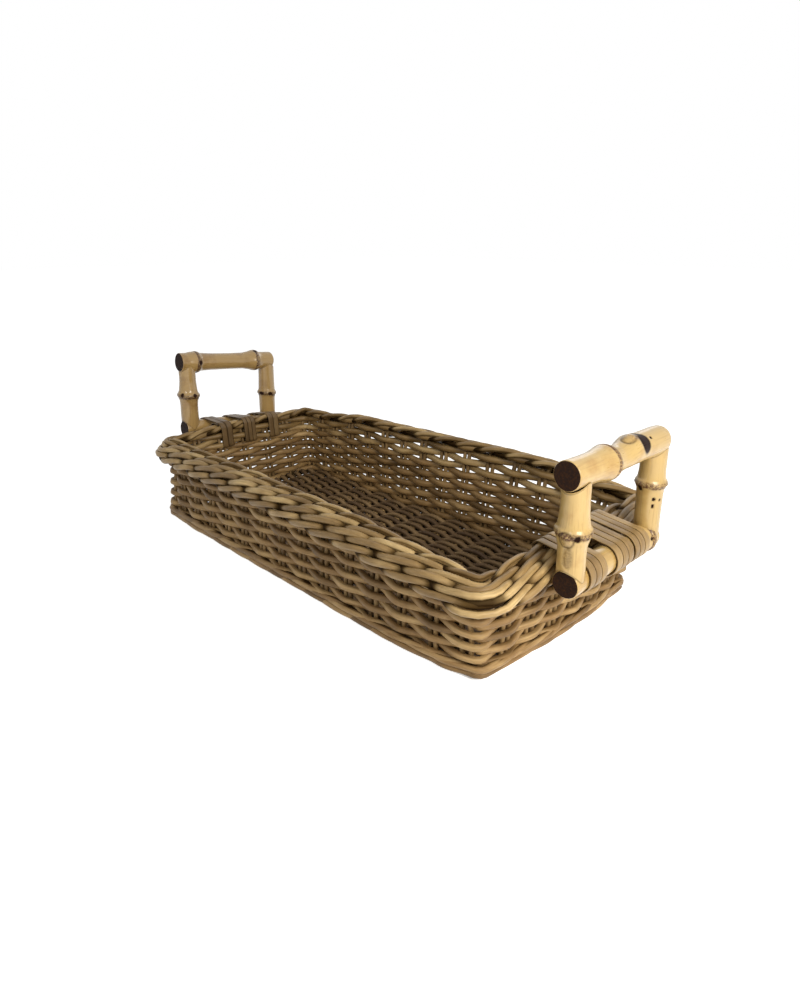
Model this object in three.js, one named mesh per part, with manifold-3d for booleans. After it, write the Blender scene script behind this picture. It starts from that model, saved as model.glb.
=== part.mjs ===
// Rectangular rattan tray basket with a bamboo-root handle lashed to each end.
// Millimetres. X runs along the basket, Y across it and Z up; the origin is the middle of the foot.

import * as THREE from 'three';
import { mergeVertices } from 'three/addons/utils/BufferGeometryUtils.js';
import Module from 'manifold-3d';

const wasm = await Module();
wasm.setup();

// Driving dimensions of the walls: the stake line is the middle of the wall at the foot
const wallHalfLength = 222;
const wallHalfWidth = 97;
const cornerRadius = 16;
const rimHeight = 80;
const lengthFlare = 6;
const widthFlare = 4;
const endSpread = 8;

// Driving dimensions of the canes in the walls
const nearStakePitch = 27;
const backStakePitch = 29;
const farStakePitch = 31;
const frontStakePitch = 31;
const backStakeDrift = 7.5;
const stakeCane = 4.2;
const weaverThickness = 4.4;
const weaverHeight = 5.2;
const footCaneHeight = 8.2;
const footCaneWidth = 5.2;

// Driving dimensions of the floor
const stickLift = 1.5;
const stickHeight = 4.2;
const floorThickness = 4.6;
const floorPlate = 1.6;
const floorPairs = 17;
const floorCrest = 12.8;
const runnerOffset = 48;
const runnerInset = 0.5;

// Driving dimensions of the rolled border
const borderOverhang = 20.5;
const borderWaleHeight = 9.1;
const borderRollHeight = 21.8;
const ropeRadius = 5;
const socketDepth = 5;

// Driving dimensions of the handles
const barRadius = 10.4;
const postRadius = 9.8;
const nodeSwell = 1.5;
const nodeLength = 7;
const postSpacing = 110;
const topBarOverhang = 11;
const bottomBarOverhang = 7;
const handleRise = 78;
const handleHeight = 78;
const nearHandleLean = 0;
const farHandleLean = 5.5;
const dowelRadius = 3.5;
const dowelInPost = 12;
const lashingThickness = 1.6;
const fitGap = 0.3;

// Sizes that follow from the driving dimensions
const weaveOffset = stakeCane / 2 + fitGap + weaverThickness / 2;
const wallReach = weaveOffset + weaverThickness / 2;
const stakeWidth = 2 * stakeCane + 0.4;
const stakeReach = Math.hypot(cornerRadius + stakeCane / 2, stakeWidth / 2 - 0.4 * stakeCane) - cornerRadius;
const footTop = 2 * footCaneHeight + fitGap;
const rowPitch = weaverHeight + fitGap;
const lashingSlot = lashingThickness + 2.5 * fitGap;
const borderBase = rimHeight - borderRollHeight / 3 - borderWaleHeight + fitGap;
const rowsBase = footTop + fitGap;
const rowCount = Math.floor((borderBase - lashingSlot + fitGap - rowsBase) / rowPitch);
const stakeTop = borderBase + socketDepth - fitGap;
const rollBase = borderBase + borderWaleHeight + fitGap;
const rollTop = rollBase + borderRollHeight;
const floorBase = stickLift + stickHeight + fitGap;

const colours = {
  weaver: { color: 0x8d7448, roughness: 0.62, metalness: 0 },
  stake: { color: 0x7d6a45, roughness: 0.66, metalness: 0 },
  floor: { color: 0x5a4632, roughness: 0.72, metalness: 0 },
  border: { color: 0xa88d58, roughness: 0.55, metalness: 0 },
  bamboo: { color: 0xe0c184, roughness: 0.35, metalness: 0 },
  dowel: { color: 0xb99a66, roughness: 0.7, metalness: 0 },
  lashing: { color: 0xc2a468, roughness: 0.5, metalness: 0 },
};

const basket = new THREE.Group();

/** Adds one named piece to a group. */
function addPiece(group, name, geometry, finish) {
  const mesh = new THREE.Mesh(geometry, new THREE.MeshStandardMaterial(colours[finish]));
  mesh.name = name;
  group.add(mesh);
  return mesh;
}

/** Closed mesh geometry to a solid that can be cut and joined. */
function toSolid(geometry) {
  const bare = geometry.clone();
  bare.deleteAttribute('normal');
  bare.deleteAttribute('uv');
  const merged = mergeVertices(bare, 1e-4);
  return new wasm.Manifold(new wasm.Mesh({
    numProp: 3,
    vertProperties: new Float32Array(merged.attributes.position.array),
    triVerts: new Uint32Array(merged.index.array),
  }));
}

/** Solid back to a geometry with faces. */
function toGeometry(solid) {
  const mesh = solid.getMesh();
  const geometry = new THREE.BufferGeometry();
  geometry.setAttribute('position', new THREE.BufferAttribute(new Float32Array(mesh.vertProperties), 3));
  geometry.setIndex(new THREE.BufferAttribute(new Uint32Array(mesh.triVerts), 1));
  geometry.computeVertexNormals();
  return geometry;
}

/** How far the walls have leaned out along X at a height, as a factor. */
function lengthFactor(height) {
  return 1 + (lengthFlare * height) / rimHeight / wallHalfLength;
}

/** How far the walls have leaned out along Y at a height; the rim spreads towards the +X end. */
function widthFactor(x, height) {
  const spread = widthFlare + (endSpread * x) / wallHalfLength;
  return 1 + (spread * height) / rimHeight / wallHalfWidth;
}

/** Upright walls to leaning ones. */
function leanOut(geometry) {
  const position = geometry.attributes.position;
  for (let i = 0; i < position.count; i += 1) {
    const x = position.getX(i);
    const height = position.getZ(i);
    position.setX(i, x * lengthFactor(height));
    position.setY(i, position.getY(i) * widthFactor(x, height));
  }
  geometry.computeVertexNormals();
  return geometry;
}

// The wall line: four sides, each from the middle of one corner to the middle of the next

const cornerArc = (cornerRadius * Math.PI) / 2;

/** Half the wall's extent across side 0 (+X), 1 (+Y), 2 (-X) or 3 (-Y). */
function sideReach(side) {
  return side % 2 === 0 ? wallHalfLength : wallHalfWidth;
}

/** Length of a side along the wall line, with half a corner at each end. */
function sideSpan(side) {
  return 2 * (sideReach(side + 1) - cornerRadius) + cornerArc;
}

/** Point and outward direction on a side, at a distance along it from its middle. */
function onWall(side, distance) {
  const outward = new THREE.Vector2(1, 0).rotateAround(new THREE.Vector2(), (side * Math.PI) / 2);
  const along = new THREE.Vector2(-outward.y, outward.x);
  const straight = sideReach(side + 1) - cornerRadius;
  const past = Math.abs(distance) - straight;
  if (past <= 0) {
    const centre = outward.clone().multiplyScalar(sideReach(side)).addScaledVector(along, distance);
    return { centre, outward, along };
  }
  const turn = (Math.sign(distance) * past) / cornerRadius;
  const hub = outward.clone().multiplyScalar(sideReach(side) - cornerRadius);
  hub.addScaledVector(along, Math.sign(distance) * straight);
  const turned = outward.clone().rotateAround(new THREE.Vector2(), turn);
  return {
    centre: hub.addScaledVector(turned, cornerRadius),
    outward: turned,
    along: new THREE.Vector2(-turned.y, turned.x),
  };
}

/** Stakes between the corner stakes of each side; a weaver meets itself only if all are an even number. */
const stakeCounts = [nearStakePitch, backStakePitch, farStakePitch, frontStakePitch]
  .map((pitch, side) => Math.round(sideSpan(side) / pitch) - 1);
stakeCounts[3] += stakeCounts.reduce((sum, count) => sum + count, 0) % 2;

/** Distances of the stakes between a side's two corner stakes; the back wall's drift to -X in the middle. */
function stakePlaces(side) {
  const count = stakeCounts[side];
  const half = sideSpan(side) / 2;
  const drift = side === 1 ? backStakeDrift : 0;
  return Array.from({ length: count }, (_, i) => {
    const even = (2 * (i + 1)) / (count + 1) - 1;
    return even * half + drift * (1 - even * even);
  });
}

/** All stakes in order round the wall, with a corner stake after each side. */
const stakes = [0, 1, 2, 3].flatMap((side) => [
  ...stakePlaces(side).map((distance) => ({ side, ...onWall(side, distance) })),
  { side: 'corner', ...onWall(side, sideSpan(side) / 2) },
]);

// Steps for curves: round the corners, and along the long walls where the lean twists them
const cornerSteps = 4;
const straightStep = 60;

/** Distances of the stations along a side, from the middle of one corner to the middle of the next. */
function stationPlaces(side) {
  const straight = sideReach(side + 1) - cornerRadius;
  const count = side % 2 === 0 ? 1 : Math.ceil((2 * straight) / straightStep);
  const bend = Array.from({ length: cornerSteps + 1 }, (_, i) => straight + (cornerArc / 2) * (i / cornerSteps));
  const middle = Array.from({ length: count - 1 }, (_, i) => straight * ((2 * (i + 1)) / count - 1));
  return [...bend.map((distance) => -distance).reverse(), ...middle, ...bend];
}

/** Stations round the whole wall, each corner's middle taken once. */
const ringStations = [0, 1, 2, 3].flatMap((side) => (
  stationPlaces(side).slice(0, -1).map((distance) => onWall(side, distance))
));

/** Point beside the wall line, so far outward and so far along. */
function beside(station, outward, along = 0) {
  return station.centre.clone().addScaledVector(station.outward, outward).addScaledVector(station.along, along);
}

/** Ring from an outer and an inner loop of points, between two heights. */
function extrudedRing(outer, inner, base, height) {
  const shape = new THREE.Shape(outer);
  shape.holes.push(new THREE.Path(inner));
  const geometry = new THREE.ExtrudeGeometry(shape, { depth: height, bevelEnabled: false });
  return geometry.translate(0, 0, base);
}

/** Plain ring round the wall line between two outward offsets. */
function plainRing(inside, outside, base, height) {
  return extrudedRing(
    ringStations.map((station) => beside(station, outside)),
    ringStations.map((station) => beside(station, inside)),
    base,
    height,
  );
}

/** Ring with a section of [outward, height] points, carried once round the wall line. */
function profiledRing(section) {
  const rings = ringStations.length;
  const points = section.length;
  const position = ringStations.flatMap((station) => section.flatMap(([outward, height]) => {
    const place = beside(station, outward);
    return [place.x, place.y, height];
  }));
  const index = [];
  for (let i = 0; i < rings; i += 1) {
    for (let j = 0; j < points; j += 1) {
      const a = i * points + j;
      const b = i * points + ((j + 1) % points);
      const c = ((i + 1) % rings) * points + j;
      const d = ((i + 1) % rings) * points + ((j + 1) % points);
      index.push(a, c, b, b, c, d);
    }
  }
  const geometry = new THREE.BufferGeometry();
  geometry.setAttribute('position', new THREE.BufferAttribute(new Float32Array(position), 3));
  geometry.setIndex(index);
  return geometry;
}

/** Box standing at a stake's place, turned with the wall. */
function boxAtStake(stake, width, depth, base, top) {
  const box = new THREE.BoxGeometry(depth, width, top - base);
  box.rotateZ(Math.atan2(stake.outward.y, stake.outward.x));
  return box.translate(stake.centre.x, stake.centre.y, (base + top) / 2);
}

// Stakes: pairs of upright canes, side by side, joined along each wall by the rail under the foot

/** Outline of two round canes laid side by side. */
function pairOutline() {
  const r = stakeCane / 2;
  const w = stakeWidth / 2;
  return new THREE.Shape([
    [w, -r / 2], [w, r / 2], [w - r * 0.8, r], [0, r * 0.6], [r * 0.8 - w, r],
    [-w, r / 2], [-w, -r / 2], [r * 0.8 - w, -r], [0, -r * 0.6], [w - r * 0.8, -r],
  ].map(([x, y]) => new THREE.Vector2(x, y)));
}

/** Pair of stakes at one place, from the foot up into the border. */
function stakePair(stake) {
  const pair = new THREE.ExtrudeGeometry(pairOutline(), { depth: stakeTop - stickLift, bevelEnabled: false });
  pair.rotateZ(Math.atan2(stake.outward.y, stake.outward.x) - Math.PI / 2);
  return pair.translate(stake.centre.x, stake.centre.y, stickLift);
}

/** Rail that ties a wall's stakes together under the foot wale. */
function stakeRail(stations) {
  const outline = [
    ...stations.map((station) => beside(station, stakeCane / 2)),
    ...stations.map((station) => beside(station, -stakeCane / 2)).reverse(),
  ];
  const rail = new THREE.ExtrudeGeometry(new THREE.Shape(outline), { depth: stickHeight, bevelEnabled: false });
  return rail.translate(0, 0, stickLift);
}

/** The stakes of one wall as a comb; the long walls hold the corner stakes. */
function wallStakes(side) {
  const own = stakes.filter((stake) => stake.side === side);
  const half = sideSpan(side) / 2;
  const isLong = side % 2 === 1;
  const corners = isLong ? [onWall(side, -half), onWall(side, half)] : [];
  const railStations = isLong
    ? stationPlaces(side).map((distance) => onWall(side, distance))
    : [own[0], own[own.length - 1]];
  const pairs = [...own, ...corners].map((stake) => toSolid(stakePair(stake)));
  const comb = pairs.reduce((joined, pair) => joined.add(pair), toSolid(stakeRail(railStations)));
  return leanOut(toGeometry(comb));
}

addPiece(basket, 'near_end_stakes', wallStakes(0), 'stake');
addPiece(basket, 'back_wall_stakes', wallStakes(1), 'stake');
addPiece(basket, 'far_end_stakes', wallStakes(2), 'stake');
addPiece(basket, 'front_wall_stakes', wallStakes(3), 'stake');

/** Ring with an upright socket at every stake, open below, and above too where the stakes go through. */
function socketRing(ring, base, top) {
  const width = stakeWidth + 2 * fitGap;
  const depth = stakeCane + 2 * fitGap;
  const sockets = stakes.map((stake) => toSolid(boxAtStake(stake, width, depth, base, top)));
  return toGeometry(sockets.reduce((cut, socket) => cut.subtract(socket), toSolid(ring)));
}

// Foot: two thick wales; the stakes stand inside the lower one and go through the upper one

const footInside = stakeReach + fitGap;
const footLower = plainRing(footInside, footInside + footCaneWidth, 0, footCaneHeight);
addPiece(basket, 'foot_wale_lower', leanOut(footLower), 'weaver');

const footUpperBase = footCaneHeight + fitGap;
const footUpper = plainRing(-wallReach, footInside + footCaneWidth, footUpperBase, footCaneHeight);
const footUpperCut = socketRing(footUpper, footUpperBase - 1, footTop + 1);
addPiece(basket, 'foot_wale_upper', leanOut(footUpperCut), 'weaver');

// Side weave: each row passes in front of one pair of stakes and behind the next

/** Loop of a weaver's face round the wall, passing stakes on alternate sides. */
function weaverLoop(row, face) {
  const flat = stakeWidth / 2 + 1;
  return stakes.flatMap((stake, i) => {
    const outward = ((i + row) % 2 === 0 ? weaveOffset : -weaveOffset) + face;
    return [beside(stake, outward, -flat), beside(stake, outward, flat)];
  });
}

for (let row = 0; row < rowCount; row += 1) {
  const outer = weaverLoop(row, weaverThickness / 2);
  const inner = weaverLoop(row, -weaverThickness / 2);
  const ring = extrudedRing(outer, inner, rowsBase + row * rowPitch, weaverHeight);
  addPiece(basket, `weaver_row_${row + 1}`, leanOut(ring), 'weaver');
}

// Floor: cross sticks tied by two runners, with the woven mat on top of them

const stickReach = wallHalfWidth - stakeCane / 2 - fitGap;
const crossSticks = stakePlaces(1).map((distance) => onWall(1, distance).centre.x);
const runnerStart = Math.min(...crossSticks) - stakeWidth;
const runnerEnd = Math.max(...crossSticks) + stakeWidth;

/** Bar of the floor at a place, lying so far inside the sticks' own height. */
function floorBar(lengthX, lengthY, x, y, inset = 0) {
  const bar = new THREE.BoxGeometry(lengthX, lengthY, stickHeight - 2 * inset);
  return toSolid(bar.translate(x, y, stickLift + stickHeight / 2));
}

const runners = [-runnerOffset, runnerOffset].map((y) => (
  floorBar(runnerEnd - runnerStart, stakeWidth, (runnerStart + runnerEnd) / 2, y, runnerInset)
));
const floorFrame = crossSticks
  .map((x) => floorBar(stakeWidth, 2 * stickReach, x, 0))
  .reduce((joined, stick) => joined.add(stick), runners[0].add(runners[1]));
addPiece(basket, 'floor_sticks', leanOut(toGeometry(floorFrame)), 'stake');

const matInset = wallReach + fitGap;
const matShape = new THREE.Shape(ringStations.map((station) => beside(station, -matInset)));
const plate = new THREE.ExtrudeGeometry(matShape, { depth: floorPlate, bevelEnabled: false });

// Pairs of floor canes rise over every other stick, and the next pair over the sticks between
const pairPitch = (2 * (wallHalfWidth - matInset)) / floorPairs;
const matEnd = wallHalfLength - matInset;

/** Raised length of one pair of floor canes over one stick, sloping down to the plate on both sides. */
function floorCrossing(stick, pair) {
  const x = crossSticks[stick];
  const start = stick + 1 < crossSticks.length ? (x + crossSticks[stick + 1]) / 2 : -matEnd;
  const end = stick > 0 ? (x + crossSticks[stick - 1]) / 2 : matEnd;
  const outline = new THREE.Shape([
    [start + fitGap, 0],
    [end - fitGap, 0],
    [end - fitGap, floorPlate],
    [x + floorCrest / 2, floorThickness],
    [x - floorCrest / 2, floorThickness],
    [start + fitGap, floorPlate],
  ].map(([along, height]) => new THREE.Vector2(along, height)));
  const block = new THREE.ExtrudeGeometry(outline, { depth: pairPitch - 2 * fitGap, bevelEnabled: false });
  const middle = (pair - (floorPairs - 1) / 2) * pairPitch;
  return toSolid(block.rotateX(Math.PI / 2).translate(0, middle + pairPitch / 2 - fitGap, 0));
}

const crossings = crossSticks.flatMap((_, stick) => (
  Array.from({ length: floorPairs }, (__, pair) => pair)
    .filter((pair) => (stick + pair) % 2 === 0)
    .map((pair) => floorCrossing(stick, pair))
));
const matRoom = new THREE.Shape(ringStations.map((station) => beside(station, -matInset - fitGap)));
const room = toSolid(new THREE.ExtrudeGeometry(matRoom, { depth: floorThickness + 1, bevelEnabled: false }));
const raised = wasm.Manifold.union(crossings).intersect(room);
const mat = toGeometry(toSolid(plate).add(raised)).translate(0, 0, floorBase);
addPiece(basket, 'floor_mat', leanOut(mat), 'floor');

// Border: a wale with sockets for the stakes' tops, and the thick roll that is laid over it

// Four ropes of laid-over stakes from the outside in: shares of the way across the border and up it
const ropePlaces = [[0, 0.19], [0.31, 0.635], [0.64, 0.85], [1, 1]];
const outerRope = borderOverhang - ropeRadius;
const innerRope = ropeRadius - wallReach;
const ropes = ropePlaces.map(([across, up]) => new THREE.Vector2(
  outerRope + across * (innerRope - outerRope),
  rollBase + up * (borderRollHeight - ropeRadius),
));
const rollFoot = outerRope + Math.sqrt(ropeRadius ** 2 - (ropes[0].y - rollBase) ** 2);

/** Where the round outlines of two neighbouring ropes meet on the face of the border. */
function ropeValley(lower, upper) {
  const apart = upper.clone().sub(lower);
  const depth = Math.sqrt(ropeRadius ** 2 - apart.lengthSq() / 4);
  const face = new THREE.Vector2(apart.y, -apart.x).setLength(depth);
  return lower.clone().addScaledVector(apart, 0.5).add(face);
}

/** Points of a rope's face as [outward, height], from one point on it round to another. */
function ropeFace(rope, from, to) {
  const start = from.clone().sub(rope).angle();
  const first = start > Math.PI * 1.2 ? start - 2 * Math.PI : start;
  const last = to.clone().sub(rope).angle();
  const steps = Math.max(2, Math.round((last - first) / 0.6));
  return Array.from({ length: steps }, (_, i) => {
    const angle = first + ((last - first) * i) / steps;
    return [rope.x + ropeRadius * Math.cos(angle), rope.y + ropeRadius * Math.sin(angle)];
  });
}

const waleSection = [
  [-wallReach, borderBase],
  [wallReach + fitGap, borderBase],
  [wallReach + 1, borderBase + 0.5 * borderWaleHeight],
  [outerRope - 3, borderBase + 0.8 * borderWaleHeight],
  [rollFoot, borderBase + borderWaleHeight],
  [-wallReach, borderBase + borderWaleHeight],
];
const wale = socketRing(profiledRing(waleSection), borderBase - 1, borderBase + socketDepth);
addPiece(basket, 'border_wale', leanOut(wale), 'border');

const ropeEnds = [
  new THREE.Vector2(rollFoot, rollBase),
  ...ropes.slice(1).map((rope, i) => ropeValley(ropes[i], rope)),
  new THREE.Vector2(-wallReach, rollTop - ropeRadius),
];
const rollSection = [
  [-wallReach, rollBase],
  ...ropes.flatMap((rope, i) => ropeFace(rope, ropeEnds[i], ropeEnds[i + 1])),
  ropeEnds[ropeEnds.length - 1].toArray(),
];
addPiece(basket, 'border_roll', leanOut(profiledRing(rollSection)), 'border');

// Handles: bamboo-root bars and posts, with a hidden dowel in each joint

/** X of a point beside the end wall, at a height. */
function endWallX(outward, height) {
  return (wallHalfLength + outward) * lengthFactor(height);
}

const borderFace = Math.max(...[...waleSection, ...rollSection].map(([outward, z]) => endWallX(outward, z)));
const barX = borderFace + fitGap + barRadius;
const caneSides = 16;

/** Bamboo length about Y, from one end to the other, swollen at its nodes. */
function cane(radius, start, end, nodes = []) {
  const bumps = [...nodes].sort((a, b) => a - b).flatMap((node) => [
    [radius, node - nodeLength],
    [radius + nodeSwell, node - nodeLength / 4],
    [radius + nodeSwell, node + nodeLength / 4],
    [radius, node + nodeLength],
  ]);
  const profile = [[0, start], [radius, start], ...bumps, [radius, end], [0, end]];
  return new THREE.LatheGeometry(profile.map(([r, y]) => new THREE.Vector2(r, y)), caneSides);
}

/** Upright rod between two heights. */
function uprightRod(radius, y, from, to) {
  const rod = new THREE.CylinderGeometry(radius, radius, to - from, 12);
  return rod.rotateX(Math.PI / 2).translate(0, y, (from + to) / 2);
}

/** One handle, built about its bottom bar, leant sideways and set against its end of the border. */
function buildHandle(prefix, side, lean, topNodes, postNodes) {
  const handle = new THREE.Group();
  handle.position.set(side * barX, 0, handleHeight);
  handle.rotation.x = -THREE.MathUtils.degToRad(lean);
  basket.add(handle);
  const topReach = postSpacing / 2 + topBarOverhang;
  const bottomReach = postSpacing / 2 + bottomBarOverhang;
  const raised = (geometry) => geometry.translate(0, 0, handleRise);
  let topBar = toSolid(raised(cane(barRadius, -topReach, topReach, topNodes)));
  let bottomBar = toSolid(cane(barRadius, -bottomReach, bottomReach));
  const topRoom = toSolid(raised(cane(barRadius + fitGap, -2 * topReach, 2 * topReach, topNodes)));
  const bottomRoom = toSolid(cane(barRadius + fitGap, -2 * bottomReach, 2 * bottomReach));

  ['front', 'back'].forEach((word, i) => {
    const y = (i - 0.5) * postSpacing;
    const full = cane(postRadius, 0, handleRise, [postNodes[i]]).rotateX(Math.PI / 2).translate(0, y, 0);
    const lower = [0, barRadius + dowelInPost];
    const upper = [handleRise - lower[1], handleRise];
    const [lowerBore, upperBore] = [lower, upper].map(([from, to]) => (
      toSolid(uprightRod(dowelRadius + fitGap, y, from - fitGap, to + fitGap))
    ));
    const post = toSolid(full).subtract(topRoom).subtract(bottomRoom).subtract(lowerBore).subtract(upperBore);
    bottomBar = bottomBar.subtract(lowerBore);
    topBar = topBar.subtract(upperBore);
    addPiece(handle, `${prefix}_${word}_post`, toGeometry(post), 'bamboo');
    addPiece(handle, `${prefix}_${word}_lower_dowel`, uprightRod(dowelRadius, y, ...lower), 'dowel');
    addPiece(handle, `${prefix}_${word}_upper_dowel`, uprightRod(dowelRadius, y, ...upper), 'dowel');
  });
  addPiece(handle, `${prefix}_top_bar`, toGeometry(topBar), 'bamboo');
  addPiece(handle, `${prefix}_bottom_bar`, toGeometry(bottomBar), 'bamboo');
}

buildHandle('near_handle', 1, nearHandleLean, [-18, 20], [36, 44]);
buildHandle('far_handle', -1, farHandleLean, [-34, 44], [40, 32]);

// Lashings: flat cane wound round the bottom bar and the border, through the wall between the stakes

/** Points of a circle in the plane of a lashing. */
function circlePoints(x, z, radius, count = 24) {
  return Array.from({ length: count }, (_, i) => {
    const angle = (2 * Math.PI * i) / count;
    return new THREE.Vector2(x + radius * Math.cos(angle), z + radius * Math.sin(angle));
  });
}

/** Convex outline round a set of points, by walking the lower and the upper chain. */
function convexOutline(points) {
  const sorted = [...points].sort((a, b) => a.x - b.x || a.y - b.y);
  const turn = (o, a, b) => (a.x - o.x) * (b.y - o.y) - (a.y - o.y) * (b.x - o.x);
  const chain = (list) => list.reduce((kept, point) => {
    while (kept.length > 1 && turn(kept[kept.length - 2], kept[kept.length - 1], point) <= 1e-6) {
      kept.pop();
    }
    kept.push(point);
    return kept;
  }, []);
  return [...chain(sorted).slice(0, -1), ...chain(sorted.reverse()).slice(0, -1)];
}

/** Outline that holds the bottom bar, at the heights it has there, and the border's section. */
function lashingOutline(clearance, heights) {
  const bar = heights.flatMap((height) => circlePoints(barX, height, barRadius + clearance));
  const rim = [...waleSection, ...rollSection].flatMap(([outward, z]) => (
    circlePoints(endWallX(outward, z), z, clearance, 8)
  ));
  return convexOutline([...bar, ...rim]);
}

/** One lashing as a flat closed band, from one place across the end to another. */
function lashing(from, to, lean) {
  const heights = [from, to].map((y) => handleHeight - y * Math.tan(THREE.MathUtils.degToRad(lean)));
  const shape = new THREE.Shape(lashingOutline(fitGap + lashingThickness, heights));
  shape.holes.push(new THREE.Path(lashingOutline(fitGap, heights)));
  const band = new THREE.ExtrudeGeometry(shape, { depth: to - from, bevelEnabled: false });
  return band.rotateX(Math.PI / 2).translate(0, to, 0);
}

[['near', 1, nearHandleLean], ['far', -1, farHandleLean]].forEach(([word, side, lean]) => {
  const stretch = widthFactor(side * wallHalfLength, borderBase);
  const places = stakePlaces(1 - side).map((place) => place * stretch);
  const half = (places[1] - places[0] - stakeWidth * stretch) / 2 - fitGap;
  const leanIn = (rollTop + 2 * lashingThickness - handleHeight) * Math.tan(THREE.MathUtils.degToRad(lean));
  const reach = postSpacing / 2 - postRadius - fitGap - leanIn;
  ['front', 'middle', 'back'].forEach((name, i) => {
    const slot = (places[i + 1] + places[i + 2]) / 2;
    const ends = [Math.max(slot - half, -reach), Math.min(slot + half, reach)].map((y) => side * y);
    const band = lashing(Math.min(...ends), Math.max(...ends), side * lean);
    addPiece(basket, `${word}_lashing_${name}`, side > 0 ? band : band.rotateZ(Math.PI), 'lashing');
  });
});

export default basket;
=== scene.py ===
"""Rectangular rattan tray basket with a bamboo-root handle lashed to each end.

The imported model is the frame. Each woven part is made again here as real strands: the stakes, the foot
wale, the side weave, the floor and the rolled border, with the bamboo handles and their lashings. Sizes
in the classes are millimetres in the frame's own axes; a Bundle turns them to metres.
"""

import logging
import math
from dataclasses import dataclass, field
from enum import Enum

import bpy
import numpy as np
from mathutils import Matrix


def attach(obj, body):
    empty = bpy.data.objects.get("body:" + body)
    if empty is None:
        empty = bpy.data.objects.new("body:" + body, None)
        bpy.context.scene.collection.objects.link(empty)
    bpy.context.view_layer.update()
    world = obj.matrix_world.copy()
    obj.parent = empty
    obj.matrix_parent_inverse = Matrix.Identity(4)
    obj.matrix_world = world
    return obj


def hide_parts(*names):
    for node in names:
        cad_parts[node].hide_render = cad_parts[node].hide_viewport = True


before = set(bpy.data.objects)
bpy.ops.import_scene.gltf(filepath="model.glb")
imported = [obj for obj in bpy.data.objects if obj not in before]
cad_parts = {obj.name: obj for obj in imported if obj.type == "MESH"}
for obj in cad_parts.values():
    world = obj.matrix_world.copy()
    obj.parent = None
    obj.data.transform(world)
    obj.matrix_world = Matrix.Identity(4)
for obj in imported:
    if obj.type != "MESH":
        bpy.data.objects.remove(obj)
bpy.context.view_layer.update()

log = logging.getLogger("basket")
Array = np.ndarray
Material = bpy.types.Material
Socket = bpy.types.NodeSocket
Triple = tuple[float, float, float]
Knots = tuple[tuple[float, float], ...]
MM = 0.001
BODY = "root"
UP = np.array([0.0, 0.0, 1.0])
WHITE = (1.0, 1.0, 1.0, 1.0)
# Mesh layers; the third is painted shade, darkest where a strand is hidden under its neighbours
LAYERS = ("cane", "tone", "tuck_shade", "mark")

# The three parts of the mark layer: a node's brown stain, a burn, and a cut end
RING, BURN, CUT = range(3)

# Seeded source of every random number, drawn in the order in which main builds the parts
DRAW = np.random.default_rng(2410)
ANY_PHASE = (0.0, 6.28)


class Wall(Enum):
    """The four walls, in their order round the basket from the +X end."""

    NEAR_END = 0
    BACK = 1
    FAR_END = 2
    FRONT = 3


class End(Enum):
    """The two ends that carry a handle, with the sign of their X."""

    NEAR = 1
    FAR = -1


class Spot(Enum):
    """Marks on the bamboo: how far each raises the skin, in millimetres, its burn and its ring stain."""

    BURN = (-0.15, 1.2, 0.0)
    BUD = (0.0, 0.0, 0.3)
    KNOT = (-0.5, 1.1, 0.0)
    GROOVE = (-0.8, 0.12, 0.4)


# Curves and surfaces


def unit(vectors: Array) -> Array:
    """Vectors divided by their own length."""
    return vectors / np.maximum(np.linalg.norm(vectors, axis=-1, keepdims=True), 1e-12)


def smooth_step(low: float, high: float, value: Array) -> Array:
    """0 below low, 1 above high, and 3t^2 - 2t^3 between them."""
    t = np.clip((value - low) / (high - low), 0.0, 1.0)
    return t * t * (3.0 - 2.0 * t)


def bell(value: Array, width: float) -> Array:
    """exp(-(value / width)^2)."""
    return np.exp(-(value / width) ** 2)


def wobble(share: Array, waves: tuple[int, ...], size: float) -> Array:
    """Irregular curve for each strand: a sum of sines of whole wave counts with drawn phases.

    Args:
        share: place along each strand, 0 to 1, shape (strands, stations).
        waves: how many waves each sine has over the strand.
        size: rough greatest value in millimetres; the mean of the sines is raised by gain to reach it.

    Returns:
        Array of the shape of share.
    """
    gain = 1.6
    strands = share.shape[0]
    phase = DRAW.uniform(0.0, 2.0 * np.pi, (len(waves), strands, 1))
    strength = DRAW.uniform(0.4, 1.0, (len(waves), strands, 1))
    count = np.array(waves, dtype=float)[:, None, None]
    return size * np.mean(strength * np.sin(2.0 * np.pi * count * share[None] + phase), axis=0) * gain


def shaped(value: Array, square: float) -> Array:
    """Sine or cosine raised to 2/square, its sign kept: 2 gives an ellipse, more a flatter side."""
    return np.sign(value) * np.abs(value) ** (2.0 / square)


def tube(paths: Array, across: Array, wide: Array, tall: Array, sides: int,
         closed: bool = False, square: float = 2.0) -> Array:
    """Carries an oval section along each path: path + wide cos(v) across + tall sin(v) (along x across).

    Args:
        paths: strand middles, shape (strands, stations, 3).
        across: rough direction of the section's wide axis at each station, same shape.
        wide: half size along across, shape (strands, stations).
        tall: half size at right angles to it, shape (strands, stations).
        sides: points round the section.
        closed: whether each path runs back into its own start.
        square: exponent of the section's superellipse.

    Returns:
        Points of shape (strands, stations, sides, 3).
    """
    step = np.roll(paths, -1, axis=1) - np.roll(paths, 1, axis=1)
    if not closed:
        step[:, 0] = paths[:, 1] - paths[:, 0]
        step[:, -1] = paths[:, -1] - paths[:, -2]
    along = unit(step)
    side = unit(across - np.sum(across * along, axis=-1, keepdims=True) * along)
    rise = np.cross(along, side)
    angle = 2.0 * np.pi * np.arange(sides) / sides
    reach_side = wide[..., None] * shaped(np.cos(angle), square)
    reach_rise = tall[..., None] * shaped(np.sin(angle), square)
    return (paths[:, :, None] + reach_side[..., None] * side[:, :, None]
            + reach_rise[..., None] * rise[:, :, None])


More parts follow.
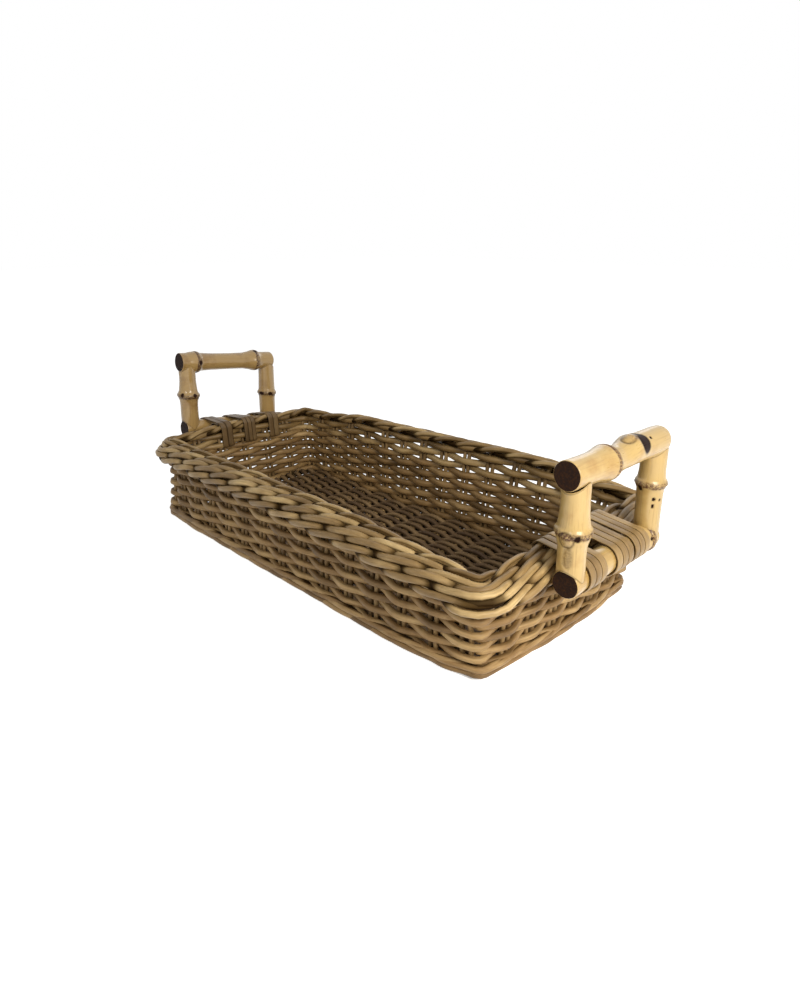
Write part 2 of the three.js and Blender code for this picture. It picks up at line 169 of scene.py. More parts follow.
def put(name: str, data: bpy.types.ID) -> bpy.types.Object:
    """Adds an object to the scene, at the origin.

    Args:
        name: the object's name.
        data: its mesh, camera or light.

    Returns:
        The object.
    """
    item = bpy.data.objects.new(name, data)
    bpy.context.scene.collection.objects.link(item)
    return item


@dataclass
class Bundle:
    """Strands gathered into one mesh, with the layers that the finishes read.

    cane runs along the strand and round it in metres, tone is the strand's own shade, tuck is painted
    shade, darker the deeper the strand is hidden, and mark holds ring stain, burn and cut end. flank is
    where the painted shade on a strand's sides begins and ends, as the sine of the angle up from its
    neighbour.
    """

    points: list[Array] = field(default_factory=list)
    corners: list[Array] = field(default_factory=list)
    sizes: list[Array] = field(default_factory=list)
    layers: dict[str, list[Array]] = field(default_factory=lambda: {name: [] for name in LAYERS})
    count: int = 0
    apart: float = 911.0
    tone_shift: float = 0.123
    shaded_flank: tuple[float, float] = (0.62, 0.05)

    def add(self, grid: Array, tone: Array, tuck_shade: Array | None = None, mark: Array | None = None,
            closed: bool = False, crease_shade: float = 0.0) -> None:
        """Adds strands whose points form a grid: stations along by points round.

        The cane layer of each strand starts at its own place, 0 to apart millimetres, picked from the
        last digits of its tone, so that no two show the same grain.

        Args:
            grid: points of shape (strands, stations, sides, 3).
            tone: shade of each strand, 0 to 1, shape (strands,) or (strands, stations).
            tuck_shade: painted shade, by how deep the strand is hidden, 0 to 1, shape (strands, stations);
                None for fully in view.
            mark: marks, shape (strands, stations, sides, 3); None for none.
            closed: whether each strand runs into its own start; open ones get a capped end.
            crease_shade: how much painted shade the strand's two flanks get, where it meets its neighbours.
        """
        strands, stations, sides, _ = grid.shape
        middle = grid.mean(axis=2)
        step = np.linalg.norm(np.diff(middle, axis=1), axis=-1)
        length = np.concatenate([np.zeros((strands, 1)), np.cumsum(step, axis=1)], axis=1)
        tone = tone.reshape(strands, -1)
        start = self.apart * np.modf(1e3 * (tone[:, 0] + self.tone_shift))[0]
        radius = np.linalg.norm(grid - middle[:, :, None], axis=-1)
        angle = 2.0 * np.pi * np.arange(sides) / sides
        cane = np.stack([
            np.broadcast_to((length + start[:, None])[..., None], radius.shape),
            radius * np.cos(angle), radius * np.sin(angle)], axis=-1)
        shade = np.broadcast_to(tone[..., None], (strands, stations, sides))
        # Painted shade: the hidden depth, with more on the two flanks where the strand meets its neighbours
        depth = np.zeros((strands, stations)) if tuck_shade is None else tuck_shade
        flank_shade = crease_shade * smooth_step(*self.shaded_flank, np.abs(np.cos(angle)))
        depth = np.clip(depth[..., None] + flank_shade, 0.0, 1.0)
        marks = np.zeros(grid.shape) if mark is None else mark
        number = self.count + np.arange(strands * stations * sides).reshape(strands, stations, sides)
        after = np.roll(number, -1, axis=2)
        rows = slice(None) if closed else slice(0, stations - 1)
        follow, follow_after = np.roll(number, -1, axis=1), np.roll(after, -1, axis=1)
        quads = np.stack([number[:, rows], after[:, rows], follow_after[:, rows], follow[:, rows]], axis=-1)
        self._keep(grid, quads.reshape(-1, 4), {"cane": cane, "tone": shade, "tuck_shade": depth, "mark": marks})
        if closed:
            return
        tip = self.count + np.arange(2 * strands).reshape(2, strands)
        first, last = number[:, 0], number[:, -1]
        start_fan = np.stack([np.repeat(tip[0][:, None], sides, 1), np.roll(first, -1, 1), first], axis=-1)
        end_fan = np.stack([np.repeat(tip[1][:, None], sides, 1), last, np.roll(last, -1, 1)], axis=-1)
        fans = np.concatenate([start_fan.reshape(-1, 3), end_fan.reshape(-1, 3)])
        held = {"cane": cane.mean(axis=2), "tone": shade[..., 0], "tuck_shade": depth[..., 0],
                "mark": marks.mean(axis=2)}
        tips = {name: np.concatenate([layer[:, 0], layer[:, -1]]) for name, layer in held.items()}
        self._keep(np.concatenate([middle[:, 0], middle[:, -1]]), fans, tips)

    def _keep(self, points: Array, faces: Array, layers: dict[str, Array]) -> None:
        """Stores one lot of points, the faces between them and their layers.

        Args:
            points: the points in millimetres, the last axis x, y, z.
            faces: point numbers, a row for each face.
            layers: each layer's values at the points.
        """
        self.points.append(points.reshape(-1, 3) * MM)
        self.corners.append(faces.reshape(-1))
        self.sizes.append(np.full(len(faces), faces.shape[1]))
        for name, values in layers.items():
            self.layers[name].append(values.reshape(-1, 3) * MM if name == "cane" else values.reshape(-1))
        self.count += self.points[-1].shape[0]

    def build(self, name: str, material: Material, slot: str, *nodes: str) -> None:
        """Makes the mesh object, gives it its finish and lets it stand for CAD nodes.

        Args:
            name: the piece's name.
            material: its finish.
            slot: the record's material slot; not used.
            nodes: the CAD nodes that it replaces.
        """
        corners, sizes = np.concatenate(self.corners), np.concatenate(self.sizes)
        mesh = bpy.data.meshes.new(name)
        mesh.vertices.add(self.count)
        mesh.vertices.foreach_set("co", np.concatenate(self.points).ravel())
        mesh.loops.add(len(corners))
        mesh.loops.foreach_set("vertex_index", corners)
        mesh.polygons.add(len(sizes))
        mesh.polygons.foreach_set("loop_start", np.concatenate([[0], np.cumsum(sizes)[:-1]]))
        mesh.polygons.foreach_set("use_smooth", np.ones(len(sizes), dtype=bool))
        for title, values in self.layers.items():
            vector = title in ("cane", "mark")
            layer = mesh.attributes.new(title, "FLOAT_VECTOR" if vector else "FLOAT", "POINT")
            layer.data.foreach_set("vector" if vector else "value", np.concatenate(values).ravel())
        mesh.update(calc_edges=True)
        mesh.validate()
        mesh.materials.append(material)
        piece = put(name, mesh)
        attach(piece, BODY)
        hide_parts(*nodes)
        log.info("%s: %d points, %d faces, for %s", name, self.count, len(sizes), ", ".join(nodes))


# Finishes


def paint(colour: Triple) -> tuple[float, float, float, float]:
    """Screen colour (sRGB) to the linear colour with alpha that a socket takes."""
    linear = [c / 12.92 if c <= 0.04045 else ((c + 0.055) / 1.055) ** 2.4 for c in colour]
    return (*linear, 1.0)


class Shade:
    """A node tree, written with short calls; a source is another node's output or a plain value."""

    def __init__(self, tree: bpy.types.NodeTree) -> None:
        """Starts on a tree that has its first nodes."""
        self.nodes, self.links = tree.nodes, tree.links

    def plug(self, source: object, target: Socket) -> None:
        """Links an output, or writes a plain value, into an input.

        Args:
            source: the output or the value.
            target: the input.
        """
        if isinstance(source, Socket):
            self.links.new(source, target)
        else:
            target.default_value = source

    def feed(self, node: bpy.types.Node, inputs: dict[int | str, object]) -> None:
        """Gives a node's inputs their sources, by number or name."""
        for key, source in inputs.items():
            self.plug(source, node.inputs[key])

    def add(self, kind: str, inputs: dict[int | str, object], output: int | str = 0,
            **settings: object) -> Socket:
        """Adds a node.

        Args:
            kind: the node's type.
            inputs: the sources of its inputs, by number or name.
            output: the output that is wanted.
            settings: its own properties.

        Returns:
            The wanted output.
        """
        node = self.nodes.new(kind)
        for key, value in settings.items():
            setattr(node, key, value)
        self.feed(node, inputs)
        return node.outputs[output]

    def attribute(self, name: str, output: str = "Fac") -> Socket:
        """One of the mesh's layers."""
        return self.add("ShaderNodeAttribute", {}, output, attribute_name=name)

    def noise(self, vector: object, detail: float = 3.0, rough: float = 0.55, scale: float = 1.0) -> Socket:
        """Fractal noise, about 0.25 to 0.75."""
        sources = {"Vector": vector, "Scale": scale, "Detail": detail, "Roughness": rough}
        return self.add("ShaderNodeTexNoise", sources, "Fac", noise_dimensions="3D")

    def stretch(self, vector: object, scale: Triple) -> Socket:
        """A vector scaled per axis."""
        return self.add("ShaderNodeVectorMath", {0: vector, 1: scale}, operation="MULTIPLY")

    def remap(self, value: object, low: float, high: float, to_low: float = 0.0,
              to_high: float = 1.0) -> Socket:
        """A range of a value stretched onto another, held at its ends."""
        sources = {"Value": value, "From Min": low, "From Max": high, "To Min": to_low, "To Max": to_high}
        return self.add("ShaderNodeMapRange", sources, "Result", clamp=True)

    def math(self, operation: str, a: object, b: object = 0.0) -> Socket:
        """One sum on two values."""
        return self.add("ShaderNodeMath", {0: a, 1: b}, operation=operation, use_clamp=False)

    def blend(self, share: object, a: object, b: object) -> Socket:
        """Colour a where share is 0 and b where it is 1."""
        return self.add("ShaderNodeMix", {0: share, 6: a, 7: b}, 2, data_type="RGBA", clamp_factor=True)

    def ramp(self, value: object, stops: list[tuple[float, Triple]]) -> Socket:
        """Colour ramp.

        Args:
            value: what picks the colour.
            stops: values and their screen colours.

        Returns:
            The colour.
        """
        colour = self.add("ShaderNodeValToRGB", {0: value})
        elements = colour.node.color_ramp.elements
        for place, _ in stops[2:]:
            elements.new(place)
        for element, (place, shown) in zip(elements, stops):
            element.position = place
            element.color = paint(shown)
        return colour

    def seen(self) -> Socket:
        """1 for what the camera sees, straight or mirrored or through glass, and 0 for all other light."""
        rays = self.nodes.new("ShaderNodeLightPath").outputs
        direct = self.math("MAXIMUM", rays["Is Camera Ray"], rays["Is Glossy Ray"])
        return self.math("MAXIMUM", direct, rays["Is Transmission Ray"])


class Skin(Shade):
    """A material's node tree round its Principled shader."""

    def __init__(self, name: str) -> None:
        """Starts a material."""
        self.material = bpy.data.materials.new(name)
        self.material.use_nodes = True
        super().__init__(self.material.node_tree)
        self.surface = self.nodes["Principled BSDF"]

    def dress(self, height: object, depth: float, press: float, inputs: dict[str, object]) -> Material:
        """Finishes the material.

        Args:
            height: pattern that is pressed into the surface.
            depth: depth of the pattern in metres.
            press: how much of it shows.
            inputs: sources of the shader's own inputs.

        Returns:
            The material.
        """
        sources = {"Strength": press, "Distance": depth, "Height": height}
        self.feed(self.surface, {**inputs, "Normal": self.add("ShaderNodeBump", sources, "Normal")})
        return self.material


@dataclass(frozen=True)
class CaneFinish:
    """Peeled and smoke-dyed cane: long fibres, blotches of dye, and painted shade where it is tucked under.

    The patterns' sizes are repeats per metre along the cane and across it, and hidden is the level of
    painted shade at which no shine is left.
    """

    name: str
    dark: Triple
    middle: Triple
    light: Triple
    # deep colours the dark fibres and is also the painted shade where the cane is hidden
    deep: Triple
    roughness: float = 0.55
    coat: float = 0.12
    shine: float = 0.3
    fibre_size: Triple = (45.0, 1500.0, 1500.0)
    streak_size: Triple = (16.0, 420.0, 420.0)
    blot_size: Triple = (38.0, 90.0, 90.0)
    hidden: float = 0.6

    def material(self) -> Material:
        """The finish, made once: tone picks a colour, fibres streak it, dye blots it, and painted shade
        darkens it and takes its shine where it is hidden.

        Returns:
            The material.
        """
        if self.name in bpy.data.materials:
            return bpy.data.materials[self.name]
        skin = Skin(self.name)
        cane = skin.attribute("cane", "Vector")
        fibres = skin.noise(skin.stretch(cane, self.fibre_size), 3.0, 0.6)
        streaks = skin.noise(skin.stretch(cane, self.streak_size), 2.0)
        blots = skin.noise(skin.stretch(cane, self.blot_size), 3.0, 0.6)
        pick = skin.math("ADD", skin.math("MULTIPLY", skin.attribute("tone"), 0.62),
                         skin.remap(blots, 0.3, 0.7, -0.05, 0.43))
        tuck_shade = skin.attribute("tuck_shade")
        body = skin.ramp(pick, [(0.05, self.dark), (0.5, self.middle), (0.95, self.light)])
        body = skin.blend(skin.remap(streaks, 0.5, 0.72, 0.0, 0.34), body, paint(self.dark))
        body = skin.blend(skin.remap(fibres, 0.28, 0.72, 0.25, 0.0), body, paint(self.deep))
        relief = skin.math("ADD", fibres, skin.math("MULTIPLY", streaks, 0.7))
        # Painted shade: where the cane is hidden its colour goes to deep and its coat and specular shine
        # fade
        return skin.dress(relief, 0.0004, 0.5, {
            "Base Color": skin.blend(tuck_shade, body, paint(self.deep)),
            "Roughness": skin.remap(fibres, 0.3, 0.7, self.roughness + 0.1, self.roughness - 0.08),
            "Coat Weight": skin.remap(tuck_shade, 0.0, self.hidden, self.coat, 0.0),
            "Specular IOR Level": skin.remap(tuck_shade, 0.0, self.hidden, self.shine, 0.02),
            "Coat Roughness": 0.35})


@dataclass(frozen=True)
class BambooFinish:
    """Bamboo root: glossy skin with faint streaks, speckled brown node rings, burns and dark cut ends."""

    name: str
    skin: Triple
    warm: Triple
    tan: Triple
    ring: Triple
    burn: Triple
    cut: Triple
    roughness: float = 0.3
    fibre_size: Triple = (22.0, 700.0, 700.0)
    cloud_size: float = 55.0
    grain_size: float = 620.0

    def material(self) -> Material:
        """The finish, made once from the cane and mark layers.

        Returns:
            The material.
        """
        if self.name in bpy.data.materials:
            return bpy.data.materials[self.name]
        skin = Skin(self.name)
        cane = skin.attribute("cane", "Vector")
        ring = skin.add("ShaderNodeSeparateXYZ", {0: skin.attribute("mark", "Vector")})
        burn, cut = ring.node.outputs[BURN], ring.node.outputs[CUT]
        fibres = skin.noise(skin.stretch(cane, self.fibre_size))
        clouds = skin.noise(cane, scale=self.cloud_size)
        grains = skin.noise(cane, 2.0, 0.7, self.grain_size)
        stops = [(0.0, self.warm), (0.45, self.skin), (1.0, self.skin)]
        body = skin.ramp(skin.remap(clouds, 0.3, 0.7), stops)
        body = skin.blend(skin.remap(fibres, 0.52, 0.74, 0.0, 0.4), body, paint(self.tan))
        speckle = skin.math("MULTIPLY", ring, skin.remap(grains, 0.36, 0.62, 0.25, 1.15))
        body = skin.blend(speckle, body, paint(self.ring))
        scorch = skin.math("MULTIPLY", burn, skin.remap(clouds, 0.25, 0.6, 0.8, 1.1))
        body = skin.blend(scorch, body, paint(self.burn))
        pith = skin.blend(skin.remap(grains, 0.45, 0.7, 0.0, 0.35), paint(self.cut), paint(self.ring))
        rough = skin.math("MAXIMUM", cut, ring)
        dull = skin.math("MAXIMUM", cut, skin.math("MULTIPLY", burn, 0.9))
        relief = skin.math("ADD", skin.math("MULTIPLY", fibres, 0.25), skin.math("MULTIPLY", rough, grains))
        fine = skin.remap(fibres, 0.3, 0.7, self.roughness - 0.04, self.roughness + 0.08)
        return skin.dress(relief, 0.0006, 0.5, {
            "Base Color": skin.blend(cut, body, pith),
            "Roughness": skin.math("ADD", fine, skin.math("MULTIPLY", rough, 0.32)),
            "Coat Weight": skin.remap(dull, 0.0, 1.0, 0.35, 0.0),
            "Specular IOR Level": skin.remap(dull, 0.0, 1.0, 0.5, 0.05),
            "Coat Roughness": 0.16})


# The fourth colour of each cane finish serves its dark fibres and the painted shade where it is hidden
WEAVER_CANE = CaneFinish("weaver_cane", (0.42, 0.32, 0.18), (0.62, 0.49, 0.31), (0.81, 0.68, 0.47),
                         (0.17, 0.11, 0.04))
BORDER_CANE = CaneFinish("border_cane", (0.44, 0.34, 0.19), (0.64, 0.52, 0.33), (0.87, 0.75, 0.53),
                         (0.17, 0.11, 0.04), roughness=0.5, coat=0.2)
STAKE_CANE = CaneFinish("stake_cane", (0.38, 0.29, 0.17), (0.55, 0.44, 0.28), (0.70, 0.58, 0.40),
                        (0.15, 0.09, 0.04), roughness=0.6)
# The floor's canes are darker than the walls': painted shade for the inside of the tray
SHADED_FLOOR_CANE = CaneFinish("shaded_floor_cane", (0.33, 0.25, 0.17), (0.48, 0.38, 0.26), (0.62, 0.51, 0.36),
                        (0.11, 0.07, 0.04), roughness=0.66, coat=0.05)
# The far lashings are a darker copy of the near ones: painted shade for the end that faces away from the key
# lamp
NEAR_LASHING_CANE = CaneFinish("near_lashing_cane", (0.44, 0.34, 0.20), (0.60, 0.49, 0.32),
                               (0.75, 0.63, 0.43), (0.20, 0.13, 0.05), roughness=0.46, coat=0.2)
SHADED_FAR_LASHING_CANE = CaneFinish("shaded_far_lashing_cane", (0.34, 0.26, 0.15), (0.48, 0.38, 0.24),
                              (0.60, 0.50, 0.34), (0.16, 0.10, 0.04), roughness=0.46, coat=0.2)
# The two handles' bamboo is one finish in a lighter and a darker version: painted light on the near handle
# and painted shade on the far one
LIT_NEAR_BAMBOO = BambooFinish("lit_near_bamboo", (0.77, 0.65, 0.41), (0.71, 0.57, 0.33), (0.57, 0.43, 0.23),
                           (0.33, 0.20, 0.08), (0.13, 0.06, 0.03), (0.17, 0.12, 0.10))
SHADED_FAR_BAMBOO = BambooFinish("shaded_far_bamboo", (0.73, 0.60, 0.38), (0.64, 0.50, 0.30), (0.54, 0.41, 0.23),
                          (0.30, 0.19, 0.09), (0.17, 0.09, 0.05), (0.13, 0.08, 0.07), roughness=0.19)


# The wall line and the weave on it


@dataclass
class WallLine:
    """Middle line of the walls at the foot, its stakes, and the lean that carries everything outward.

    Knots are pairs of walls passed since the near end's first corner, and a value in millimetres:
    rim_knots how far the rim sinks, bulge_knots how far the foot swells, row_knots how far rows rise.
    The bulge ends at bulge_top, and the rows' rise is full at row_peak and gone at row_top. The rim's
    sinking grows between the two heights of sink, and between those of late_sink where the rim rises
    instead, for canes less than ropes_from outside the line; spill is the share that goes outward.
    """

    half_length: float = 222.0
    half_width: float = 97.0
    corner: float = 5.0
    rim_height: float = 80.0
    length_flare: float = 6.0
    width_flare: float = 4.0
    end_spread: float = 8.0
    stake_counts: tuple[int, int, int, int] = (6, 14, 5, 13)
    back_drift: float = 7.5
    front_shift: float = -9.0
    near_corner_shift: float = -11.0
    bulge_top: float = 62.0
    row_peak: float = 22.0
    row_top: float = 76.0
    sink: tuple[float, float] = (50.0, 75.0)
    late_sink: tuple[float, float] = (62.0, 88.0)
    ropes_from: float = 8.0
    spill: float = 0.4
    rim_knots: Knots = (
        (0.0, 3.5), (0.5, 1.0), (1.0, 2.5), (1.12, -1.5), (1.22, -7.0), (1.3, -7.5), (1.5, -6.0),
        (1.75, -5.0), (1.9, 2.5), (2.0, 4.5), (2.5, 2.0), (3.0, 6.0), (3.2, 5.0), (3.43, 2.0),
        (3.72, 0.0), (3.9, 2.0), (4.0, 3.5),
    )
    bulge_knots: Knots = (
        (0.0, -3.0), (0.12, -1.5), (0.4, 3.5), (0.7, 3.5), (0.92, 0.5), (1.0, 0.0), (2.0, 0.0),
        (2.6, 0.5), (3.0, 5.0), (3.15, 7.6), (3.8, 7.6), (3.93, 4.0), (4.0, -3.0),
    )
    row_knots: Knots = (
        (0.0, 1.8), (0.143, -1.5), (0.3, 0.8), (0.5, 1.0), (1.0, 0.0), (2.0, 0.0), (3.0, -2.0),
        (3.3, -1.0), (3.75, -0.5), (3.93, 0.8), (4.0, 1.8),
    )

    def __post_init__(self) -> None:
        """Works out the spans of the sides and the places of the stakes round the line."""
        self.reach = np.array([self.half_length, self.half_width] * 2)
        self.straight = np.roll(self.reach, -1) - self.corner
        self.spans = 2.0 * self.straight + self.corner * np.pi / 2.0
        self.starts = np.concatenate([[0.0], np.cumsum(self.spans)])
        self.length = float(self.starts[-1])
        self.corners = np.cumsum([count + 1 for count in self.stake_counts]) - 1
        places = []
        for wall in Wall:
            places.append(self.starts[wall.value] + self.spans[wall.value] / 2.0 + self.stake_places(wall))
            moved = self.near_corner_shift if wall is Wall.FRONT else 0.0
            places.append(self.starts[wall.value + 1:wall.value + 2] + moved)
        self.stakes = np.concatenate(places)
        self.count = len(self.stakes)

    def stake_places(self, wall: Wall) -> Array:
        """Distances of a wall's stakes from its middle, between its two corner stakes.

        They are even, but the back's drift by back_drift (1 - t^2) and the front's all move by front_shift.

        Args:
            wall: the wall.

        Returns:
            A distance for each stake.
        """
        count = self.stake_counts[wall.value]
        even = 2.0 * np.arange(1, count + 1) / (count + 1) - 1.0
        drift = self.back_drift if wall is Wall.BACK else 0.0
        moved = self.front_shift if wall is Wall.FRONT else 0.0
        return even * self.spans[wall.value] / 2.0 + drift * (1.0 - even * even) + moved

    def place_of(self, phase: Array) -> Array:
        """Place round the line of a stake number.

        Args:
            phase: stake numbers, fractions lying between two stakes.

        Returns:
            Distances round the line.
        """
        first, last = self.stakes[0], self.stakes[-1]
        knots = np.concatenate([[last - self.length], self.stakes, [first + self.length]])
        turns = np.floor(phase / self.count)
        place = np.interp(phase - turns * self.count, np.arange(-1, self.count + 1), knots)
        return place + turns * self.length

    def locate(self, place: Array) -> tuple[Array, Array]:
        """Point on the line and its outward direction, both with Z 0.

        Args:
            place: distance round the line from the corner before the near end, any shape.

        Returns:
            Points and outward directions, each of shape place.shape + (3,).
        """
        place = np.mod(place, self.length)
        side = np.clip(np.searchsorted(self.starts, place, side="right") - 1, 0, 3)
        distance = place - self.starts[side] - self.spans[side] / 2.0
        straight = self.straight[side]
        turn = np.sign(distance) * np.maximum(np.abs(distance) - straight, 0.0) / self.corner
        facing = side * np.pi / 2.0
        held = np.clip(distance, -straight, straight)
        deep = self.reach[side] - self.corner
        zero = np.zeros_like(place)
        outward = np.stack([np.cos(facing + turn), np.sin(facing + turn), zero], axis=-1)
        hub = np.stack([deep * np.cos(facing) - held * np.sin(facing),
                        deep * np.sin(facing) + held * np.cos(facing), zero], axis=-1)
        return hub + self.corner * outward, outward

    def lean(self, points: Array) -> Array:
        """Carries upright walls outward: x and y grow with height, and y more so towards the near end.

        Args:
            points: points of upright walls.

        Returns:
            The points of the leaning walls.
        """
        x, y, z = points[..., 0], points[..., 1], points[..., 2]
        share = z / self.rim_height
        spread = self.width_flare + self.end_spread * x / self.half_length
        return np.stack([x * (1.0 + self.length_flare * share / self.half_length),
                         y * (1.0 + spread * share / self.half_width), z], axis=-1)

    def follow(self, knots: Knots, place: Array) -> Array:
        """Value of a list of knots at each place; two neighbours are joined by the cubic 3t^2 - 2t^3.

        Args:
            knots: walls passed, and value.
            place: distance round the line.

        Returns:
            A value for each place.
        """
        walls = np.interp(np.mod(place, self.length), self.starts, np.arange(5.0))
        at, value = np.array(knots).T
        before = np.clip(np.searchsorted(at, walls, side="right") - 1, 0, len(at) - 2)
        share = (walls - at[before]) / (at[before + 1] - at[before])
        return value[before] + (value[before + 1] - value[before]) * share * share * (3.0 - 2.0 * share)

    def settle(self, place: Array, out: Array, height: Array) -> tuple[Array, Array]:
        """Hand-made unevenness: the rim sinks at corners, the foot bulges, and rows rise and fall.

        Where the rim rises above its nominal height, the rows under it keep theirs for longer.

        Args:
            place: distance round the line.
            out: nominal outward offset.
            height: nominal height.

        Returns:
            The offset and the height that the canes really take there.
        """
        drop = self.follow(self.rim_knots, place)
        bulge = self.follow(self.bulge_knots, place) * np.clip(1.0 - height / self.bulge_top, 0.0, 1.0)
        fade = np.clip((self.row_top - height) / (self.row_top - self.row_peak), 0.0, 1.0)
        rise = self.follow(self.row_knots, place) * np.minimum(height / self.row_peak, fade)
        late = (drop < 0.0) & (out < self.ropes_from)
        high = np.where(late, smooth_step(*self.late_sink, height), smooth_step(*self.sink, height))
        return out + bulge + self.spill * np.maximum(drop, 0.0) * high, height + rise - drop * high

    def beside(self, place: Array, outward: Array, height: Array) -> tuple[Array, Array]:
        """Upright-wall points at an outward offset and a height, and their outward directions.

        Args:
            place: distance round the line.
            outward: nominal outward offset.
            height: nominal height.

        Returns:
            Points and outward directions, each of shape place.shape + (3,).
        """
        outward, height = self.settle(place, outward, height)
        point, direction = self.locate(place)
        point = point + outward[..., None] * direction
        point[..., 2] = height
        return point, direction


LINE = WallLine()


@dataclass
class Stakes:
    """Pairs of upright canes, side by side, from the foot up into the border."""

    radius: float = 2.1
    half_pitch: float = 2.95
    bottom: float = 1.5
    top: float = 86.0
    bend_from: float = 72.0
    bend_out: float = 4.0
    corner_half_pitch: float = 3.6
    stations: int = 13
    sides: int = 10
    finish: CaneFinish = STAKE_CANE

    def rods(self, numbers: Array) -> Bundle:
        """Two rods at each of the given stakes: straight uprights with a slight drawn lean and bow.

        Args:
            numbers: the stakes' numbers.

        Returns:
            The rods.
        """
        share = np.linspace(0.0, 1.0, self.stations)[None]
        height = self.bottom + (self.top - self.bottom) * share
        share = np.repeat(share, len(numbers), 0)
        pitch = np.where(np.isin(numbers, LINE.corners), self.corner_half_pitch, self.half_pitch)
        bundle = Bundle()
        for sign in (-1.0, 1.0):
            place = LINE.stakes[numbers] + pitch * sign
            place = place[:, None] + wobble(share, (1, 2), 0.45)
            offset = wobble(share, (1, 2), 0.35)
            offset = offset + self.bend_out * smooth_step(self.bend_from, self.top, height) ** 2
            path, direction = LINE.beside(place, offset, np.broadcast_to(height, place.shape))
            size = self.radius * DRAW.uniform(0.92, 1.06, (len(numbers), 1)) * np.ones_like(height)
            grid = tube(path, direction, size, size, self.sides)
            bundle.add(LINE.lean(grid), DRAW.uniform(0.0, 1.0, len(numbers)), crease_shade=0.35)
        return bundle

    def build(self) -> None:
        """Makes one piece for each wall; the long walls hold the corner stakes."""
        for wall, corner, count in zip(Wall, LINE.corners, LINE.stake_counts):
            word = wall.name.lower()
            numbers = np.arange(corner - count, corner)
            node = f"{word}_stakes"
            if wall in (Wall.BACK, Wall.FRONT):
                numbers = np.arange(corner - count - 1, corner + 1)
                node = f"{word}_wall_stakes"
            self.rods(numbers).build(f"stake_pairs_{word}", self.finish.material(), "stake", node)


@dataclass
class SideWeave:
    """Rows of one round cane, in front of one pair of stakes and behind the next."""

    reach: float = 3.8
    half_thick: float = 2.75
    half_high: float = 3.2
    bend: float = 0.86
    first: float = 21.6
    pitch: float = 5.9
    rows: int = 8
    stations_per_stake: int = 10
    sides: int = 10
    seam: int = 20
    fuller: Knots = ((0.0, 0.0), (1.0, 0.0), (1.15, 0.45), (1.85, 0.4), (2.0, 0.1), (4.0, 0.0))
    finish: CaneFinish = WEAVER_CANE

    def add_row(self, bundle: Bundle, row: int) -> None:
        """Adds one closed row.

        Its outward place is reach times asin(bend cos(pi (stake number + row))) / asin(bend): straight
        between two stakes, and rounded where it passes a pair. fuller makes it higher along the back.

        Args:
            bundle: what it is added to.
            row: its number from the foot, the rows of the foot being below 0.
        """
        steps = LINE.count * self.stations_per_stake
        phase = np.arange(steps)[None] / self.stations_per_stake + self.seam
        share = np.arange(steps)[None] / steps
        swing = np.arcsin(self.bend * np.cos(np.pi * (phase + row))) / np.arcsin(self.bend)
        offset = self.reach * swing + wobble(share, (13, 27), 0.25)
        height = self.first + self.pitch * row + wobble(share, (3, 8, 17, 37), 0.6)
        place = LINE.place_of(phase)
        path, direction = LINE.beside(place, offset, height)
        swell = 1.0 + wobble(share, (5, 19, 44), 0.07)
        high = self.half_high + LINE.follow(self.fuller, place)
        grid = tube(path, direction, self.half_thick * swell, high * swell, self.sides, closed=True)
        tone = DRAW.uniform(0.25, 0.75) + wobble(share, (1, 3, 6), 0.4)
        bundle.add(LINE.lean(grid), np.clip(tone, 0.0, 1.0), closed=True, crease_shade=0.6)

    def build(self) -> None:
        """Makes each row that shows outside as a piece of its own."""
        for row in range(self.rows):
            bundle = Bundle()
            self.add_row(bundle, row)
            bundle.build(f"side_row_{row + 1}", self.finish.material(), "weaver", f"weaver_row_{row + 1}")


